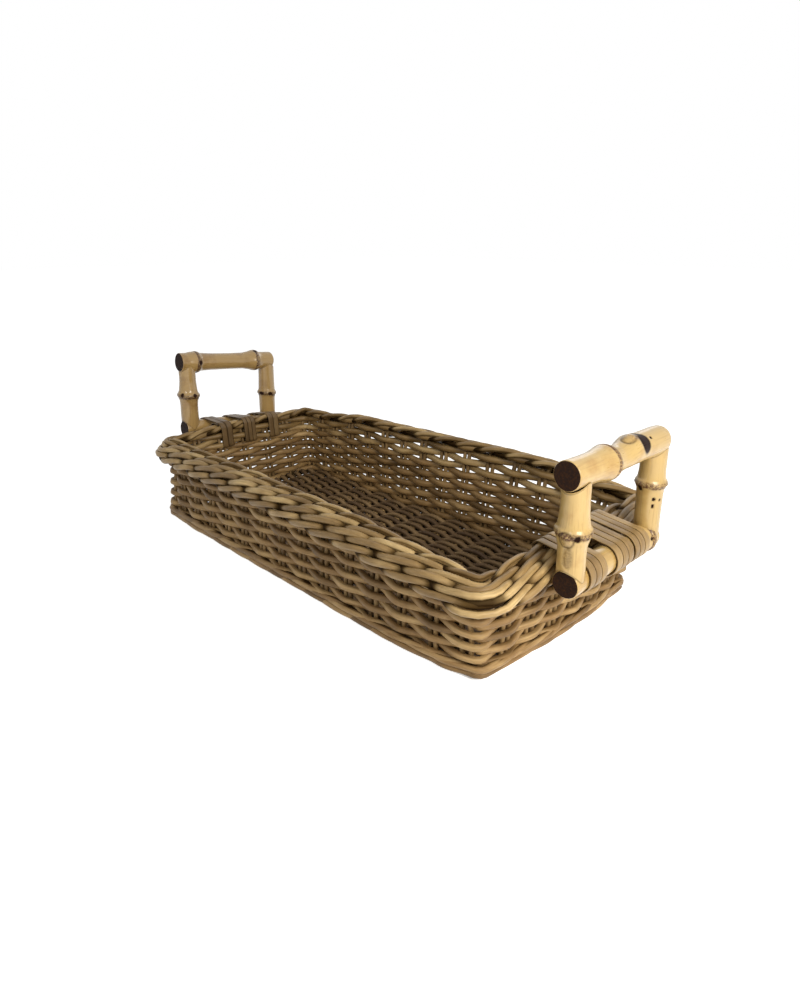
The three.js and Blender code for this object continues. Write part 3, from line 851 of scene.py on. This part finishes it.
@dataclass
class FloorWeave:
    """Floor of lengthwise canes over and under pairs of cross sticks."""

    stick_radius: float = 1.9
    stick_half_pitch: float = 2.1
    stick_reach: float = 97.0
    middle: float = 5.6
    swing: float = 3.3
    half_thick: float = 2.1
    half_wide: float = 2.95
    pitch: float = 5.3
    canes: int = 37
    half_length: float = 221.0
    centre: tuple[float, float] = (1.0, -3.0)
    stations_per_stick: int = 8
    stick_stations: int = 7
    sides: int = 10
    off_table: float = 0.05
    stick_finish: CaneFinish = STAKE_CANE
    finish: CaneFinish = SHADED_FLOOR_CANE

    def sticks(self, places: Array) -> Bundle:
        """Two straight cross sticks at each place along the floor.

        Args:
            places: their X.

        Returns:
            The sticks.
        """
        bundle = Bundle()
        share = np.linspace(0.0, 1.0, self.stick_stations)[None].repeat(len(places), 0)
        for sign in (-1.0, 1.0):
            x = places[:, None] + sign * self.stick_half_pitch + wobble(share, (1, 2), 0.5)
            y = self.stick_reach * (2.0 * share - 1.0) + self.centre[1]
            path = np.stack([x, y, np.full_like(x, self.middle)], axis=-1)
            size = np.full(share.shape, self.stick_radius)
            grid = tube(path, np.broadcast_to(UP, path.shape), size, size, self.sides)
            bundle.add(grid, DRAW.uniform(0.0, 1.0, len(places)))
        return bundle

    def weave(self, places: Array) -> Bundle:
        """The lengthwise canes.

        With w = cos(pi (stick number + cane)) their height is middle + swing w (1.3 - 0.3 w^2), which
        holds them up for longer over a stick. They get thinner where they would touch the table.

        Args:
            places: X of the sticks.

        Returns:
            The canes.
        """
        step = places[1] - places[0]
        knots = np.concatenate([[places[0] - 2 * step, places[0] - step], places,
                                [places[-1] + step, places[-1] + 2 * step]])
        stations = self.stations_per_stick * (len(places) + 1) + 1
        share = np.linspace(0.0, 1.0, stations)[None].repeat(self.canes, 0)
        x = self.half_length * (2.0 * share - 1.0) + self.centre[0]
        phase = np.interp(x, knots, np.arange(len(knots)))
        cane = np.arange(self.canes)[:, None]
        y = (cane - (self.canes - 1) / 2.0) * self.pitch + wobble(share, (2, 5, 9), 0.55)
        wave = np.cos(np.pi * (phase + cane))
        z = self.middle + self.swing * wave * (1.3 - 0.3 * wave * wave)
        path = np.stack([x, y + self.centre[1], z], axis=-1)
        swell = 1.0 + wobble(share, (3, 8, 15), 0.06)
        thick = np.minimum(self.half_thick * swell, z - self.off_table)
        grid = tube(path, np.broadcast_to(UP, path.shape), thick, self.half_wide * swell, self.sides)
        bundle = Bundle()
        bundle.add(grid, DRAW.uniform(0.0, 1.0, self.canes), crease_shade=0.6)
        return bundle

    def build(self) -> None:
        """Makes the cross sticks and the canes that run over and under them."""
        places = np.sort(-LINE.stake_places(Wall.BACK))
        sticks, weave = self.sticks(places), self.weave(places)
        sticks.build("floor_cross_sticks", self.stick_finish.material(), "stake", "floor_sticks")
        weave.build("floor_weave", self.finish.material(), "floor", "floor_mat")


@dataclass
class Lane:
    """Rope of short strands laid side by side.

    out and height place its axis in the wall's section, and facing is the angle above level, in degrees,
    at which it is seen. A strand's way round the axis is an oval of radial by tangent. Painted shade darkens
    it between the two angles of hidden as it dives; it stays lowest above the table and has thinner ends, by
    tip.
    """

    out: float
    height: float
    facing: float
    radial: float
    tangent: float
    radius: float
    shift: float = 0.0
    length: float = 77.0
    strands: int = 42
    turn: float = 178.0
    hook: float = 0.0
    hidden: tuple[float, float] = (74.0, 116.0)
    lowest: float = 0.6
    flatness: float = 0.96
    tip: float = 0.55
    stations: int = 36
    sides: int = 12

    def add_to(self, bundle: Bundle) -> None:
        """Adds the strands.

        Along a strand w goes 0 to 1 while theta climbs from -turn to +turn about the lane's axis; the
        strand lies at radial cos(theta) outward and tangent sin(theta) upward of it. hook makes theta slow
        while the strand is in view and quick where it comes up and dives.

        Args:
            bundle: what they are added to.
        """
        each = (self.strands, 1)
        w = np.linspace(0.0, 1.0, self.stations)[None].repeat(self.strands, 0)
        spacing = LINE.length / self.strands
        start = (np.arange(self.strands) + self.shift) * spacing + DRAW.normal(0.0, 1.3, self.strands)
        length = self.length * DRAW.uniform(0.93, 1.07, each)
        place = start[:, None] + (w - 0.5) * length
        run = 2.0 * w - 1.0
        run = run - self.hook * np.sin(2.0 * np.pi * run) / (2.0 * np.pi)
        theta = np.radians(self.turn) * run + DRAW.normal(0.0, 0.07, each)
        facing = np.radians(self.facing)
        radial = self.radial * np.cos(theta) * DRAW.uniform(0.88, 1.1, each)
        tangent = self.tangent * np.sin(theta)
        out = self.out + radial * np.cos(facing) - tangent * np.sin(facing) + wobble(w, (1, 2), 0.35)
        height = self.height + radial * np.sin(facing) + tangent * np.cos(facing)
        path, direction = LINE.beside(place, out, np.maximum(height, self.radius + self.lowest))
        normal = direction * np.cos(facing) + UP * np.sin(facing)
        taper = self.tip + (1.0 - self.tip) * smooth_step(0.02, 0.2, np.minimum(w, 1.0 - w))
        size = self.radius * taper * DRAW.uniform(0.93, 1.05, each)
        grid = tube(path, normal, size * self.flatness, size, self.sides)
        # Painted shade: the strand darkens as it turns under and dives beneath its neighbours
        tuck_shade = 0.95 * smooth_step(*np.radians(self.hidden), np.abs(theta))
        bundle.add(LINE.lean(grid), DRAW.uniform(0.0, 1.0, self.strands), tuck_shade, crease_shade=0.75)


@dataclass
class Foot:
    """Foot: a rope of long strands whose lower edge runs straight, and two woven rows on top of it."""

    lanes: tuple[Lane, ...] = (
        Lane(out=3.1, height=3.6, facing=-10.0, radial=1.5, tangent=0.5, radius=2.9, shift=0.2,
             length=118.0),
        Lane(out=3.5, height=8.4, facing=6.0, radial=1.5, tangent=0.9, radius=2.7, shift=0.7,
             length=104.0),
    )
    rows: tuple[int, ...] = (-2, -1)
    weave: SideWeave = field(default_factory=SideWeave)
    finish: CaneFinish = WEAVER_CANE

    def build(self) -> None:
        """Makes the rope and the rows as one piece."""
        bundle = Bundle()
        for lane in self.lanes:
            lane.add_to(bundle)
        for row in self.rows:
            self.weave.add_row(bundle, row)
        nodes = ("foot_wale_lower", "foot_wale_upper")
        bundle.build("foot_wale_strands", self.finish.material(), "weaver", *nodes)


@dataclass
class Border:
    """Rolled border: four ropes of laid-over stakes side by side, and the rows of weave under them."""

    lanes: tuple[Lane, ...] = (
        Lane(out=-2.0, height=88.6, facing=112.0, radial=3.0, tangent=2.8, radius=2.7, hook=0.35),
        Lane(out=4.3, height=86.2, facing=80.0, radial=3.0, tangent=3.2, radius=2.9, shift=0.45, hook=0.4),
        Lane(out=9.7, height=83.4, facing=50.0, radial=3.0, tangent=3.2, radius=2.95, shift=0.9, hook=0.15),
        Lane(out=13.6, height=75.9, facing=22.0, radial=2.9, tangent=3.2, radius=2.95, shift=1.3, hook=0.1),
    )
    inner_rows: int = 4
    weave: SideWeave = field(default_factory=SideWeave)
    finish: CaneFinish = BORDER_CANE

    def build(self) -> None:
        """Makes the ropes, and under them the top rows of the side weave."""
        bundle = Bundle()
        for lane in self.lanes:
            lane.add_to(bundle)
        bundle.build("border_rope", self.finish.material(), "border", "border_roll")
        bundle = Bundle()
        for row in range(self.weave.rows, self.weave.rows + self.inner_rows):
            self.weave.add_row(bundle, row)
        bundle.build("border_neck", self.finish.material(), "border", "border_wale")


# Handles


@dataclass
class Scar:
    """A mark at a place along a bamboo length and round it in degrees, with its half sizes."""

    kind: Spot
    along: float
    around: float
    half_length: float
    half_width: float


@dataclass
class Length:
    """One bamboo length: radius by place, node rings and scars, all measured along it.

    bend lists places with the sideways shift of the middle line there, along the two axes of its
    section, and edges are the roundings of its two ends; one of 2 mm or more makes a dome with skin on it.
    """

    radii: list[tuple[float, float]]
    nodes: list[float] = field(default_factory=list)
    scars: list[Scar] = field(default_factory=list)
    bend: tuple[Triple, ...] = ((0.0, 0.0, 0.0),)
    edges: tuple[float, float] = (0.9, 0.9)
    dome: float = 2.0
    disc: tuple[float, ...] = (0.04, 0.4, 0.7, 0.88)
    edge_rings: int = 9
    cut_rings: int = 3

    def stations(self, step: float) -> tuple[Array, Array, Array, Array]:
        """Rings of points from end to end: a flat disc, a round edge, the skin, an edge and a disc.

        On an edge of size e the place moves by e (1 - cos t) and the radius drops by e (1 - sin t).

        Args:
            step: distance between the rings on the skin.

        Returns:
            For each ring its place, the drop of its radius, the share of it that is left, and 1 on a
            cut end.
        """
        start, finish = self.radii[0][0], self.radii[-1][0]
        low, high = self.edges
        turn = np.linspace(0.0, np.pi / 2.0, self.edge_rings)
        skin = np.linspace(start + low, finish - high, int((finish - start) / step))[1:-1]
        flat = len(self.disc)
        along = np.concatenate([[start] * flat, start + low * (1.0 - np.cos(turn)), skin,
                                finish - high * (1.0 - np.cos(turn[::-1])), [finish] * flat])
        drop = np.concatenate([[low] * flat, low * (1.0 - np.sin(turn)), np.zeros(len(skin)),
                               high * (1.0 - np.sin(turn[::-1])), [high] * flat])
        share = np.concatenate([self.disc, np.ones(2 * self.edge_rings + len(skin)), self.disc[::-1]])
        cut = np.zeros(len(along))
        cut[:flat + self.cut_rings] = float(low < self.dome)
        cut[-flat - self.cut_rings:] = float(high < self.dome)
        return along, drop, share, cut

    def radius_at(self, along: Array) -> Array:
        """Radius at each place: straight between the listed ones, then blurred by a bell-shaped window.

        Args:
            along: places along the length.

        Returns:
            A radius for each.
        """
        at, radius = np.array(self.radii).T
        fine = np.linspace(at[0], at[-1], 400)
        window = np.hanning(19)
        plain = np.pad(np.interp(fine, at, radius), len(window) // 2, mode="edge")
        return np.interp(along, fine, np.convolve(plain, window / window.sum(), mode="valid"))

    def add_nodes(self, spot: Array, around: Array, swell: Array, mark: Array) -> None:
        """Adds to swell and mark at each node: a broad swelling, a stained groove before it, a lip after.

        Args:
            spot: place along the length of each point.
            around: angle round it of each point.
            swell: height over the plain skin, added to in place.
            mark: marks, added to in place.
        """
        for node in self.nodes:
            phase = DRAW.uniform(*ANY_PHASE, 2)
            ripple = 0.35 * np.sin(2.0 * around + phase[0]) + 0.25 * np.sin(5.0 * around + phase[1])
            away = spot - node - ripple
            groove, lip, stain = away + 1.9, away - 2.2, away + 0.2
            swell += 0.85 * bell(away, 3.2) - 0.7 * bell(groove, 0.6)
            swell += 0.4 * bell(lip, 0.7)
            mark[..., RING] += 0.75 * bell(groove, 0.8) + 0.85 * np.exp(-(stain / 2.6) ** 4)

    def add_scars(self, spot: Array, around: Array, radius: Array, swell: Array, mark: Array) -> None:
        """Adds to swell and mark at each scar; a bud is also a bump inside a burnt rim.

        Args:
            spot: place along the length of each point.
            around: angle round it of each point.
            radius: radius at each point.
            swell: height over the plain skin, added to in place.
            mark: marks, added to in place.
        """
        for scar in self.scars:
            turn = np.mod(around - math.radians(scar.around) + np.pi, 2.0 * np.pi) - np.pi
            away = np.hypot((spot - scar.along) / scar.half_length, radius * turn / scar.half_width)
            inside = smooth_step(1.15, 0.75, away)
            rise, burn, ring = scar.kind.value
            swell += rise * inside
            mark[..., BURN] += burn * inside
            mark[..., RING] += ring * inside
            if scar.kind is Spot.BUD:
                swell += 0.8 * smooth_step(0.95, 0.3, away) - 0.35 * bell(away - 1.0, 0.2)
                mark[..., BURN] += 0.75 * bell(away - 1.0, 0.13)


@dataclass
class Handle:
    """Upright grip of two bars and two posts, set against one end of the border."""

    end: End
    lean: float
    finish: BambooFinish
    top: Length
    bottom: Length
    front: Length
    back: Length
    bar_x: float = 259.8
    bar_height: float = 78.0
    rise: float = 78.0
    half_spacing: float = 55.0
    around: int = 64
    step: float = 0.7
    seat_radius: float = 10.2
    seat_depth: float = 0.5
    seat_blend: float = 14.0

    def place(self, points: Array) -> Array:
        """Turns the handle's own points about X by its lean and sets them at the end of the basket.

        Args:
            points: points about the middle of the bottom bar.

        Returns:
            Points in the frame's axes.
        """
        angle = math.radians(self.lean)
        x, y, z = points[..., 0], points[..., 1], points[..., 2]
        turned_y = y * math.cos(angle) + z * math.sin(angle)
        turned_z = z * math.cos(angle) - y * math.sin(angle)
        return np.stack([x + self.end.value * self.bar_x, turned_y, turned_z + self.bar_height], axis=-1)

    def seat(self, grid: Array) -> tuple[Array, Array]:
        """Cuts a post's two ends to the round bars: its heights run from one bar's skin to the other's.

        Args:
            grid: the post's own points, before the handle is placed.

        Returns:
            The points with their new heights, and the distance of each from the nearer bar's skin.
        """
        x, z = grid[..., 0], grid[..., 2]
        inside = np.sqrt(np.maximum(self.seat_radius ** 2 - x * x, 0.0)) - self.seat_depth
        first, last, blend = z.min(), z.max(), self.seat_blend
        low = inside + (z - first) / blend * (first + blend - inside)
        high = self.rise - inside - (last - z) / blend * (self.rise - inside - last + blend)
        z = np.where(z < first + blend, low, np.where(z > last - blend, high, z))
        return np.stack([x, grid[..., 1], z], axis=-1), np.minimum(z - inside, self.rise - inside - z)

    def surface(self, length: Length, axis: Array, zero: Array, origin: Array,
                seated: bool = False) -> Bundle:
        """Surface of one bamboo length: rings whose radius is its own with nodes, scars and unevenness.

        Args:
            length: the bamboo length.
            axis: unit vector along it.
            zero: unit vector that the angle round it is measured from.
            origin: point where its own measure is 0.
            seated: whether its ends are cut to the bars, with a dark line where they meet.

        Returns:
            A bundle with this one surface.
        """
        along, drop, share, cut = length.stations(self.step)
        radius = length.radius_at(along)
        angle = 2.0 * np.pi * np.arange(self.around) / self.around
        around = np.broadcast_to(angle, (len(along), self.around))
        spot = np.broadcast_to(along[:, None], around.shape)
        swell = np.zeros(around.shape)
        mark = np.zeros(around.shape + (3,))
        length.add_nodes(spot, around, swell, mark)
        length.add_scars(spot, around, radius[:, None], swell, mark)
        mark *= 1.0 - cut[:, None, None]
        mark[..., CUT] = cut[:, None]
        uneven = 0.12 * np.sin(2.0 * around + DRAW.uniform(*ANY_PHASE))
        uneven = uneven + 0.1 * np.sin(3.0 * around + DRAW.uniform(*ANY_PHASE) + spot / 17.0)
        reach = (radius[:, None] + swell + uneven - drop[:, None]) * share[:, None]
        place, to_zero, to_third = np.array(length.bend).T
        shift_zero, shift_third = np.interp(along, place, to_zero), np.interp(along, place, to_third)
        grid = (origin + along[:, None, None] * axis
                + (reach * np.cos(around) + shift_zero[:, None])[..., None] * zero
                + (reach * np.sin(around) + shift_third[:, None])[..., None] * np.cross(axis, zero))
        if seated:
            grid, apart = self.seat(grid)
            mark[..., BURN] += 0.5 * bell(apart - 1.0, 0.5)
        bundle = Bundle()
        bundle.add(self.place(grid)[None], DRAW.uniform(0.3, 0.7, 1), None, np.clip(mark, 0.0, 1.2)[None])
        return bundle

    def build(self) -> None:
        """Makes the four lengths; the posts stand for the hidden dowels too."""
        word, finish = self.end.name.lower(), self.finish.material()
        ahead, side, up = np.eye(3)
        for length, name, height in ((self.top, "top_bar", self.rise), (self.bottom, "bottom_bar", 0.0)):
            bundle = self.surface(length, side, up, up * height)
            bundle.build(f"{word}_bamboo_{name}", finish, "bamboo", f"{word}_handle_{name}")
        for length, name, sign in ((self.front, "front", -1.0), (self.back, "back", 1.0)):
            bundle = self.surface(length, up, ahead, side * sign * self.half_spacing, seated=True)
            node = f"{word}_handle_{name}"
            bundle.build(f"{word}_bamboo_{name}_post", finish, "bamboo",
                         f"{node}_post", f"{node}_lower_dowel", f"{node}_upper_dowel")


NEAR_HANDLE = Handle(
    End.NEAR, 0.0, LIT_NEAR_BAMBOO,
    top=Length(
        [(-67.5, 10.3), (-50, 10.3), (-38, 10.6), (-29, 11.7), (-24, 12.5), (-19, 11.5), (-13, 9.8),
         (-8, 9.3), (-2, 9.5), (4, 10.5), (10, 11.2), (16, 11.1), (24, 10.6), (34, 10.8), (48, 10.9),
         (61.5, 10.3)],
        nodes=[-20.5],
        scars=[Scar(Spot.BURN, 18, 52, 6.4, 9.4), Scar(Spot.BUD, 7, 6, 6.5, 5.0),
               Scar(Spot.KNOT, 28, 42, 1.5, 1.2), Scar(Spot.KNOT, 17, -8, 2.4, 4.0),
               Scar(Spot.KNOT, -18, -14, 1.6, 5.0)],
        bend=((-67.5, 2.2, 0.0), (-30, 0.8, 0.0), (-12, 0.0, 0.0), (-6, -0.4, 0.0), (3, 0.9, 0.0),
              (10, 2.2, 0.0), (20, 1.7, 0.0), (35, 1.2, 0.0), (61.5, 0.9, 0.0)),
        edges=(0.9, 7.5)),
    bottom=Length(
        [(-57.0, 10.4), (-30, 10.4), (20, 10.3), (46, 10.4), (52, 11.3), (57, 10.6), (64, 10.2)],
        nodes=[51.0],
        scars=[Scar(Spot.KNOT, -34, 80, 2, 1.6), Scar(Spot.KNOT, 48, 74, 1.8, 1.5),
               Scar(Spot.KNOT, 54, 100, 1.8, 1.5)],
        bend=((-57.0, -1.0, 0.0), (-20, 0.0, 0.0)),
        edges=(0.9, 4.0)),
    front=Length(
        [(2, 10.2), (18, 9.9), (27, 10.0), (34, 11.6), (39, 12.3), (43, 11.2), (50, 10.2), (60, 9.8),
         (76, 9.9)],
        nodes=[38.5],
        scars=[Scar(Spot.BUD, 35, -82, 5.8, 5.2), Scar(Spot.GROOVE, 20, -80, 11, 3.8),
               Scar(Spot.KNOT, 37, -44, 2.8, 2.4), Scar(Spot.BUD, 37, 4, 2.6, 2.4)],
        bend=((2, 0.0, 4.4), (76, 0.0, 0.0))),
    back=Length(
        [(2, 9.9), (20, 9.8), (36, 10.0), (41, 10.3), (45, 11.8), (48, 10.6), (56, 9.9), (76, 9.9)],
        nodes=[45.5],
        scars=[Scar(Spot.KNOT, 34.5, -46, 1.7, 1.4), Scar(Spot.KNOT, 28.8, -48, 1.9, 1.3),
               Scar(Spot.KNOT, 33.5, -16, 1.3, 1.1), Scar(Spot.KNOT, 42, -110, 2.2, 2.4)],
        bend=((2, 0.0, 2.2), (76, 0.0, -2.2))))

FAR_HANDLE = Handle(
    End.FAR, 5.5, SHADED_FAR_BAMBOO,
    top=Length(
        [(-64.5, 10.4), (-56, 10.5), (-51, 11.6), (-45, 11.8), (-40, 10.4), (-25, 9.6), (0, 9.3),
         (18, 9.5), (26, 10.8), (32, 12.3), (36, 11.4), (42, 9.9), (59.5, 9.8)],
        nodes=[-44.0, 35.0],
        scars=[Scar(Spot.KNOT, 34, 20, 2.6, 3.0), Scar(Spot.KNOT, -43, 88, 2.6, 3.0)],
        edges=(0.9, 2.5)),
    bottom=Length(
        [(-60, 10.0), (-20, 10.3), (30, 10.2), (62, 10.0)],
        scars=[Scar(Spot.KNOT, -27, 70, 3, 2.4), Scar(Spot.KNOT, 5, 60, 2.6, 2),
               Scar(Spot.KNOT, 41, 65, 3, 2)]),
    front=Length(
        [(2, 10.3), (28, 10.2), (34, 10.6), (40, 12.4), (46, 10.6), (56, 9.6), (76, 9.5)],
        nodes=[39.5],
        scars=[Scar(Spot.KNOT, 41, -62, 2.6, 2.4), Scar(Spot.KNOT, 41, 8, 2.4, 2.4),
               Scar(Spot.GROOVE, 57, -122, 14, 1.7)],
        bend=((2, 0.0, 3.0), (76, 0.0, 0.0))),
    back=Length(
        [(2, 9.8), (26, 9.9), (33, 10.1), (37, 11.2), (41, 10.2), (60, 9.6), (76, 9.6)],
        nodes=[37.0],
        scars=[Scar(Spot.KNOT, 37, -70, 2.2, 3.2), Scar(Spot.KNOT, 37, -12, 2.2, 2.8)],
        bend=((2, 0.0, 1.6), (76, 0.0, -2.0))))


@dataclass
class Lashing:
    """Turns of flat cane wound round a handle's bottom bar and the border, through the wall.

    section lists the round shapes that it passes besides the bar, each with its outward offset, height
    and radius: two top ropes of the border, and the wall's inner and outer corner under them.
    """

    end: End
    name: str
    start: float
    finish: float
    turns: int = 3
    lean: float = 0.0
    thickness: float = 1.5
    clearance: float = 0.25
    strip_gap: float = 0.3
    bar_x: float = 259.8
    bar_height: float = 78.0
    bar_radius: float = 10.5
    section: tuple[Triple, ...] = ((-2.2, 88.9, 5.2), (4.5, 86.6, 5.5), (-4.6, 68.6, 2.4), (5.5, 66.8, 2.4))
    first_angle: float = -2.2
    top_share: float = 0.25
    samples_per_turn: int = 720
    stations_per_turn: int = 84
    sides: int = 14
    square: float = 3.2

    def outline(self, y: Array, angle: Array) -> Array:
        """Tight outline: at each angle the point that reaches furthest, x cos + z sin + radius.

        Args:
            y: place across the basket.
            angle: direction in the section, from +X up.

        Returns:
            The points.
        """
        bar_z = self.bar_height - y * math.tan(math.radians(self.lean))
        wall = Wall.NEAR_END.value if self.end is End.NEAR else Wall.FAR_END.value
        place = LINE.starts[wall] + LINE.spans[wall] / 2.0 + y * self.end.value
        spare = self.thickness / 2.0 + self.clearance
        shapes = [(self.bar_x + 0.0 * y, bar_z, self.bar_radius + spare)]
        for out, height, radius in self.section:
            out, z = LINE.settle(place, out + 0.0 * y, height + 0.0 * y)
            x = (LINE.half_length + out) * (1.0 + LINE.length_flare * z / LINE.rim_height / LINE.half_length)
            shapes.append((x, z, radius + spare))
        cosine, sine = np.cos(angle), np.sin(angle)
        best = np.argmax([x * cosine + z * sine + radius for x, z, radius in shapes], axis=0)
        touch = np.array([(x + radius * cosine, z + radius * sine) for x, z, radius in shapes])
        x, z = touch[best, :, np.arange(len(y))].T
        return np.stack([x, y, z], axis=-1)

    def build(self) -> None:
        """Makes the winding.

        Y moves on by one strip each turn, and the turns lie between start and finish where they cross
        the top. The path is then walked in even steps, and each turn has its own shade.
        """
        pitch = (self.finish - self.start) / self.turns
        share = np.linspace(0.0, 1.0, self.samples_per_turn * self.turns)
        angle = self.first_angle + 2.0 * np.pi * self.turns * share
        y = self.start + pitch * (0.5 + angle / (2.0 * np.pi) - self.top_share)
        y = y + 0.3 * np.sin(angle + DRAW.uniform(*ANY_PHASE))
        path = self.outline(y, angle)
        normal = np.stack([np.cos(angle), 0.0 * angle, np.sin(angle)], axis=-1)
        walked = np.concatenate([[0.0], np.cumsum(np.linalg.norm(np.diff(path, axis=0), axis=-1))])
        even = np.linspace(0.0, walked[-1], self.stations_per_turn * self.turns)
        path, normal = (np.stack([np.interp(even, walked, part) for part in lot.T], axis=-1)
                        for lot in (path, normal))
        normal = unit(normal)
        sag = 0.25 * np.sin(even / 11.0 + DRAW.uniform(*ANY_PHASE))
        path = path + normal * sag[:, None] * 0.5
        wide = np.full((1, len(even)), self.thickness / 2.0)
        tall = np.full((1, len(even)), (pitch - self.strip_gap) / 2.0)
        grid = tube(path[None], normal[None], wide, tall, self.sides, square=self.square)
        if self.end is End.FAR:
            grid = (grid * (-1.0, 1.0, 1.0))[:, :, ::-1]
        turned = np.interp(even, walked, angle - self.first_angle)
        number = np.floor(turned / (2.0 * np.pi)).astype(int)
        shades = DRAW.uniform(0.2, 0.9, number.max() + 2)
        word = self.end.name.lower()
        # The far end's lashings take the darker copy, as painted shade
        finish = NEAR_LASHING_CANE if self.end is End.NEAR else SHADED_FAR_LASHING_CANE
        node = f"{word}_lashing_{self.name}"
        bundle = Bundle()
        bundle.add(grid, shades[number][None], crease_shade=0.9)
        bundle.build(f"{word}_winding_{self.name}", finish.material(), "lashing", node)


LASHINGS = (
    Lashing(End.NEAR, "front", -42.0, -19.0),
    Lashing(End.NEAR, "middle", -5.0, 19.5),
    Lashing(End.NEAR, "back", 21.5, 44.0),
    Lashing(End.FAR, "front", -35.0, -20.5, turns=2, lean=5.5),
    Lashing(End.FAR, "middle", -4.5, 11.5, lean=5.5),
    Lashing(End.FAR, "back", 30.5, 45.0, turns=2, lean=5.5),
)


# Studio


def aimed(back: Array, right: Array, spot: Triple) -> Matrix:
    """World matrix of a camera or lamp.

    Args:
        back: unit vector opposite to where it looks.
        right: unit vector to its right.
        spot: its place in metres.

    Returns:
        The matrix.
    """
    matrix = np.eye(4)
    matrix[:3, :3] = np.stack([right, np.cross(back, right), back], axis=1)
    matrix[:3, 3] = spot
    return Matrix(matrix.tolist())


@dataclass(frozen=True)
class Lamp:
    """Square soft lamp that looks at a point, with its size in metres and its power in watts."""

    name: str
    spot: Triple
    aim: Triple
    size: float
    power: float
    colour: Triple

    def build(self) -> None:
        """Adds the lamp."""
        data = bpy.data.lights.new(self.name, "AREA")
        data.size = self.size
        data.energy = self.power
        data.color = self.colour
        back = unit(np.array(self.spot) - np.array(self.aim))
        put(self.name, data).matrix_world = aimed(back, unit(np.cross(UP, back)), self.spot)


@dataclass
class Studio:
    """Plain pale floor, soft lamps and the camera of the photograph, in metres.

    world is the light from all round, glow the floor's own light towards the camera, and shaded the half
    sizes of the patch under the basket that has no glow.
    """

    eye: Triple = (0.4728, -0.4244, 0.3011)
    back: Triple = (0.6624, -0.6529, 0.3675)
    heading: float = 45.42
    lens: float = 24.48
    sensor: float = 36.0
    world: float = 0.27
    glow: float = 0.8
    shaded: tuple[float, float] = (0.225, 0.104)
    floor_half: float = 6.0
    lamps: tuple[Lamp, ...] = (
        Lamp("key", (0.74, -0.16, 0.42), (0.2, 0.0, 0.06), 0.3, 4.4, (1.0, 0.95, 0.86)),
        Lamp("rear", (-0.35, 0.95, 0.6), (0.0, 0.0, 0.05), 0.5, 1.2, (1.0, 0.98, 0.95)),
        Lamp("fill", (0.3, -0.85, 0.6), (0.0, 0.0, 0.05), 0.16, 1.5, (1.0, 0.98, 0.95)),
    )

    def camera(self) -> None:
        """Sets the camera from its back direction and the heading of its right side."""
        data = bpy.data.cameras.new("photo_camera")
        data.lens = self.lens
        data.sensor_width = self.sensor
        data.clip_start = 0.01
        camera = put("photo_camera", data)
        heading = math.radians(self.heading)
        back = unit(np.array(self.back))
        right = np.array([math.cos(heading), math.sin(heading), 0.0])
        right = unit(right - back * np.dot(right, back))
        camera.matrix_world = aimed(back, right, self.eye)
        bpy.context.scene.camera = camera

    def background(self) -> None:
        """White to the camera and in reflections, and a plain grey light to everything else."""
        world = bpy.data.worlds.new("studio")
        bpy.context.scene.world = world
        world.use_nodes = True
        sky = Shade(world.node_tree)
        plain = sky.nodes["Background"]
        sky.feed(plain, {"Color": WHITE, "Strength": self.world})
        white = sky.add("ShaderNodeBackground", {"Color": WHITE, "Strength": 1.0})
        mix = sky.add("ShaderNodeMixShader", {0: sky.seen(), 1: plain.outputs[0], 2: white})
        sky.plug(mix, sky.nodes["World Output"].inputs["Surface"])

    def floor(self) -> None:
        """Wide pale floor; to the camera it also glows, but not under the basket, so it reads white."""
        half = self.floor_half
        mesh = bpy.data.meshes.new("studio_floor")
        corners = [(-half, -half, 0.0), (half, -half, 0.0), (half, half, 0.0), (-half, half, 0.0)]
        mesh.from_pydata(corners, [], [(0, 1, 2, 3)])
        floor = put("studio_floor", mesh)
        skin = Skin("studio_floor")
        skin.nodes.remove(skin.surface)
        ground = skin.add("ShaderNodeTexCoord", {}, "Object")
        ground = skin.stretch(ground, (1.0 / self.shaded[0], 1.0 / self.shaded[1], 1.0))
        along = skin.add("ShaderNodeSeparateXYZ", {0: ground})
        across = along.node.outputs[1]
        away = skin.math("MAXIMUM", skin.math("ABSOLUTE", along), skin.math("ABSOLUTE", across))
        glow = skin.add("ShaderNodeEmission", {"Strength": skin.remap(away, 0.94, 1.0, 0.0, self.glow)})
        none = skin.add("ShaderNodeEmission", {"Strength": 0.0})
        shown = skin.add("ShaderNodeMixShader", {0: skin.seen(), 1: none, 2: glow})
        pale = skin.add("ShaderNodeBsdfDiffuse", {"Color": (0.9, 0.9, 0.9, 1.0)})
        both = skin.add("ShaderNodeAddShader", {0: pale, 1: shown})
        skin.plug(both, skin.nodes["Material Output"].inputs["Surface"])
        mesh.materials.append(skin.material)

    def build(self) -> None:
        """Sets the stage."""
        bpy.context.scene.view_settings.view_transform = "Standard"
        self.camera()
        self.background()
        self.floor()
        for lamp in self.lamps:
            lamp.build()
        log.info("studio set")


def main() -> None:
    """Builds the basket, piece by piece, and the studio."""
    logging.basicConfig(level=logging.INFO, format="%(message)s")
    woven = (Stakes(), Foot(), SideWeave(), FloorWeave(), Border())
    for part in (*woven, NEAR_HANDLE, FAR_HANDLE, *LASHINGS, Studio()):
        part.build()


if __name__ == "__main__":
    main()
